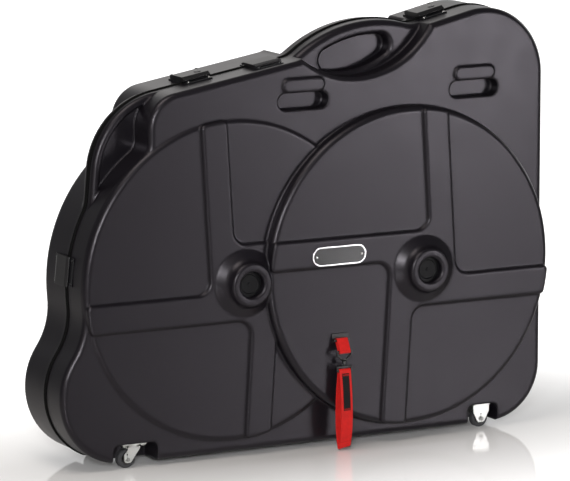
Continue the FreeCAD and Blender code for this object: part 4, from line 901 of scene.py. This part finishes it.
class CASE_OT_strap(bpy.types.Operator):
    """Hang the woven tow strap with its hook"""
    bl_idname = "case.strap"
    bl_label = "Tow strap"

    @staticmethod
    def anchor_band(settings, tip, red):
        """The short band between the anchor and the hook."""
        low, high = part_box("strap_anchor_webbing")
        corner = Vector((settings.tip_radius, settings.tip_radius))
        route = belt_route(Vector((high.y, high.z)) - corner, Vector((low.y, low.z)) + corner, tip, 1.05 * tip)
        piece = ribbon("strap_anchor_band", route, (low.x + high.x) / 2, high.x - low.x, settings.thickness)
        finish_piece(piece, red, BODY_OF["strap_anchor_webbing"])
        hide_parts("strap_anchor_webbing")

    @staticmethod
    def hand_loop(settings, tip, red, thread, black):
        """The hand loop with its sewn patch and seams, modelled upright and then hung askew."""
        low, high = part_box("strap_hand_loop")
        middle = (low + high) / 2
        reach = (high.z - low.z) / 2 - settings.tip_radius
        route = belt_route(Vector((middle.y, middle.z + reach)), Vector((middle.y, middle.z - reach)),
                           tip, settings.bow)
        side = bowed_side(reach, tip, settings.bow)

        def front(height, lift):
            """A point on the loop's front band, lifted off its middle line."""
            drop = height - middle.z
            bulge = settings.bow - side + math.sqrt(side * side - drop * drop)
            return Vector((middle.y - bulge - lift, height))

        def seam(height, lift, pitch):
            """Seven stitches side by side across the front band, each with the direction it faces."""
            return [(Vector((middle.x + share * pitch, *front(height, lift))), -Y) for share in range(-3, 4)]

        patch_lift = (settings.thickness + settings.patch_thickness) / 2
        top = high.z - settings.patch_inset
        rows = 12
        patch_route = [front(top - settings.patch_length * row / rows, patch_lift) for row in range(rows + 1)]
        bar_lift = patch_lift + settings.patch_thickness / 2
        bars = []
        for height in (top - settings.stitch_length, top - settings.patch_length + settings.stitch_length):
            bars += seam(height, bar_lift, settings.patch_width / 8)
        hem = seam(low.z + settings.hem_height, settings.thickness / 2, 1.2 * settings.stitch_length)
        loop = ribbon("strap_hand_band", route, middle.x, high.x - low.x, settings.thickness)
        patch = ribbon("strap_patch", patch_route, middle.x, settings.patch_width, settings.patch_thickness)
        bar_stitches = stitches("strap_patch_stitches", bars, Z, settings.stitch_length)
        hem_stitches = stitches("strap_hem_stitches", hem, X, settings.stitch_length)
        for piece, finish in ((loop, red), (patch, black), (bar_stitches, red), (hem_stitches, thread)):
            for point in piece.data.vertices:
                share = (high.z - point.co.z) / (high.z - low.z)
                belly = settings.belly * math.sin(math.pi * min(max(share, 0), 1))
                skew = (point.co.x - middle.x) * math.tan(settings.slant) * share ** 2
                point.co.z += skew - belly
            finish_piece(piece, finish, BODY_OF["strap_hand_loop"])
        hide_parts("strap_hand_loop")

    def execute(self, context):
        settings = context.scene.case_strap
        spacing = settings.thread_spacing
        dress(moulded_nylon("black_hook_nylon", "0A0A0B", 0.4), "strap_anchor", "strap_hook", "strap_swivel_eye")
        red = polyester_webbing("red_polyester_webbing", settings.webbing_colour, spacing, 0.08)
        thread = polyester_webbing("red_polyester_thread", [0.6 * part for part in settings.webbing_colour],
                                   0.5 * spacing, 0.05)
        black = polyester_webbing("black_polyester_patch", linear("060606"), 0.6 * spacing, 0)
        tip = settings.tip_radius - settings.thickness / 2
        self.anchor_band(settings, tip, red)
        self.hand_loop(settings, tip, red, thread, black)
        return {"FINISHED"}


# Stage

# Place, aim, size in metres, spread in degrees, power in watts and colour of each soft box.
LAMPS = {
    "key": ((2.35, -3.45, 0.6), (0.3, 0, 0.65), 0.8, 60, 4.5, "FFFCFF"),
    "front": ((-3.2, -5.4, 2.0), (0, 0, 0.45), 1.0, 70, 38, "FFFFFF"),
    "back": ((1.0, 3.0, 2.4), (0, 0, 0.9), 1.8, 180, 4, "FFF7F0"),
    "side": ((-3.4, -1.8, 1.2), (-0.3, 0, 0.5), 1.6, 180, 9, "FFF7F0"),
    "right": ((3.6, 1.0, 1.5), (0.6, 0, 0.6), 1.6, 60, 4, "FFFFFF"),
    "overhead": ((-1.1, -0.6, 3.0), (-0.1, 0, 0.3), 1.6, 90, 9, "FFF7F0"),
}


class CASE_OT_stage(bpy.types.Operator):
    """Set up the pale floor, the soft lights and the camera"""
    bl_idname = "case.stage"
    bl_label = "Studio stage"

    @staticmethod
    def hang_lamps(context):
        """Hang the soft boxes, each turned towards its aim."""
        for name, (spot, aim, size, opening, power, code) in LAMPS.items():
            bpy.ops.object.select_all(action="DESELECT")
            bpy.ops.object.light_add(type="AREA", location=spot)
            lamp = context.active_object
            lamp.name = name
            lamp.data.size = size
            lamp.data.spread = math.radians(opening)
            lamp.data.energy = power
            lamp.data.color = linear(code)
            lamp.rotation_euler = (Vector(aim) - Vector(spot)).to_track_quat("-Z", "Y").to_euler()

    @staticmethod
    def place_camera(context, settings):
        """Stand the camera where the photograph was taken from."""
        bpy.ops.object.camera_add(location=settings.camera_place)
        camera = context.active_object
        a, e = settings.azimuth, settings.elevation
        back = Vector((math.sin(a) * math.cos(e), -math.cos(a) * math.cos(e), math.sin(e)))
        camera.rotation_euler = (-back).to_track_quat("-Z", "Y").to_euler()
        camera.data.lens = settings.lens
        camera.data.clip_end = settings.floor_size
        context.scene.camera = camera

    def execute(self, context):
        settings = context.scene.case_stage
        floor = start("floor", bpy.ops.mesh.primitive_plane_add, size=settings.floor_size)
        floor.data.materials.append(studio_floor())
        context.scene.world = studio_world()
        self.hang_lamps(context)
        self.place_camera(context, settings)
        context.scene.view_settings.view_transform = "Standard"
        return {"FINISHED"}


OPERATORS = (CASE_OT_shells, CASE_OT_foam, CASE_OT_hinges, CASE_OT_castors, CASE_OT_latches,
             CASE_OT_badge, CASE_OT_strap, CASE_OT_stage)


class CASE_PT_panel(bpy.types.Panel):
    """Buttons for each group of pieces"""
    bl_idname = "CASE_PT_panel"
    bl_label = "Travel Case"
    bl_space_type = "VIEW_3D"
    bl_region_type = "UI"
    bl_category = "Travel Case"

    def draw(self, context):
        for name, group in SETTINGS.items():
            box = self.layout.box()
            for prop in group.__annotations__:
                box.prop(getattr(context.scene, name), prop)
        for operator in OPERATORS:
            self.layout.operator(operator.bl_idname)


def register():
    for group in SETTINGS.values():
        bpy.utils.register_class(group)
    for name, group in SETTINGS.items():
        setattr(bpy.types.Scene, name, PointerProperty(type=group))
    for operator in OPERATORS:
        bpy.utils.register_class(operator)
    bpy.utils.register_class(CASE_PT_panel)


def unregister():
    bpy.utils.unregister_class(CASE_PT_panel)
    for operator in reversed(OPERATORS):
        bpy.utils.unregister_class(operator)
    for name in SETTINGS:
        delattr(bpy.types.Scene, name)
    for group in reversed(SETTINGS.values()):
        bpy.utils.unregister_class(group)


def main():
    """Build the whole scene."""
    register()
    for operator in OPERATORS:
        group, name = operator.bl_idname.split(".")
        getattr(getattr(bpy.ops, group), name)()


if __name__ == "__main__":
    main()
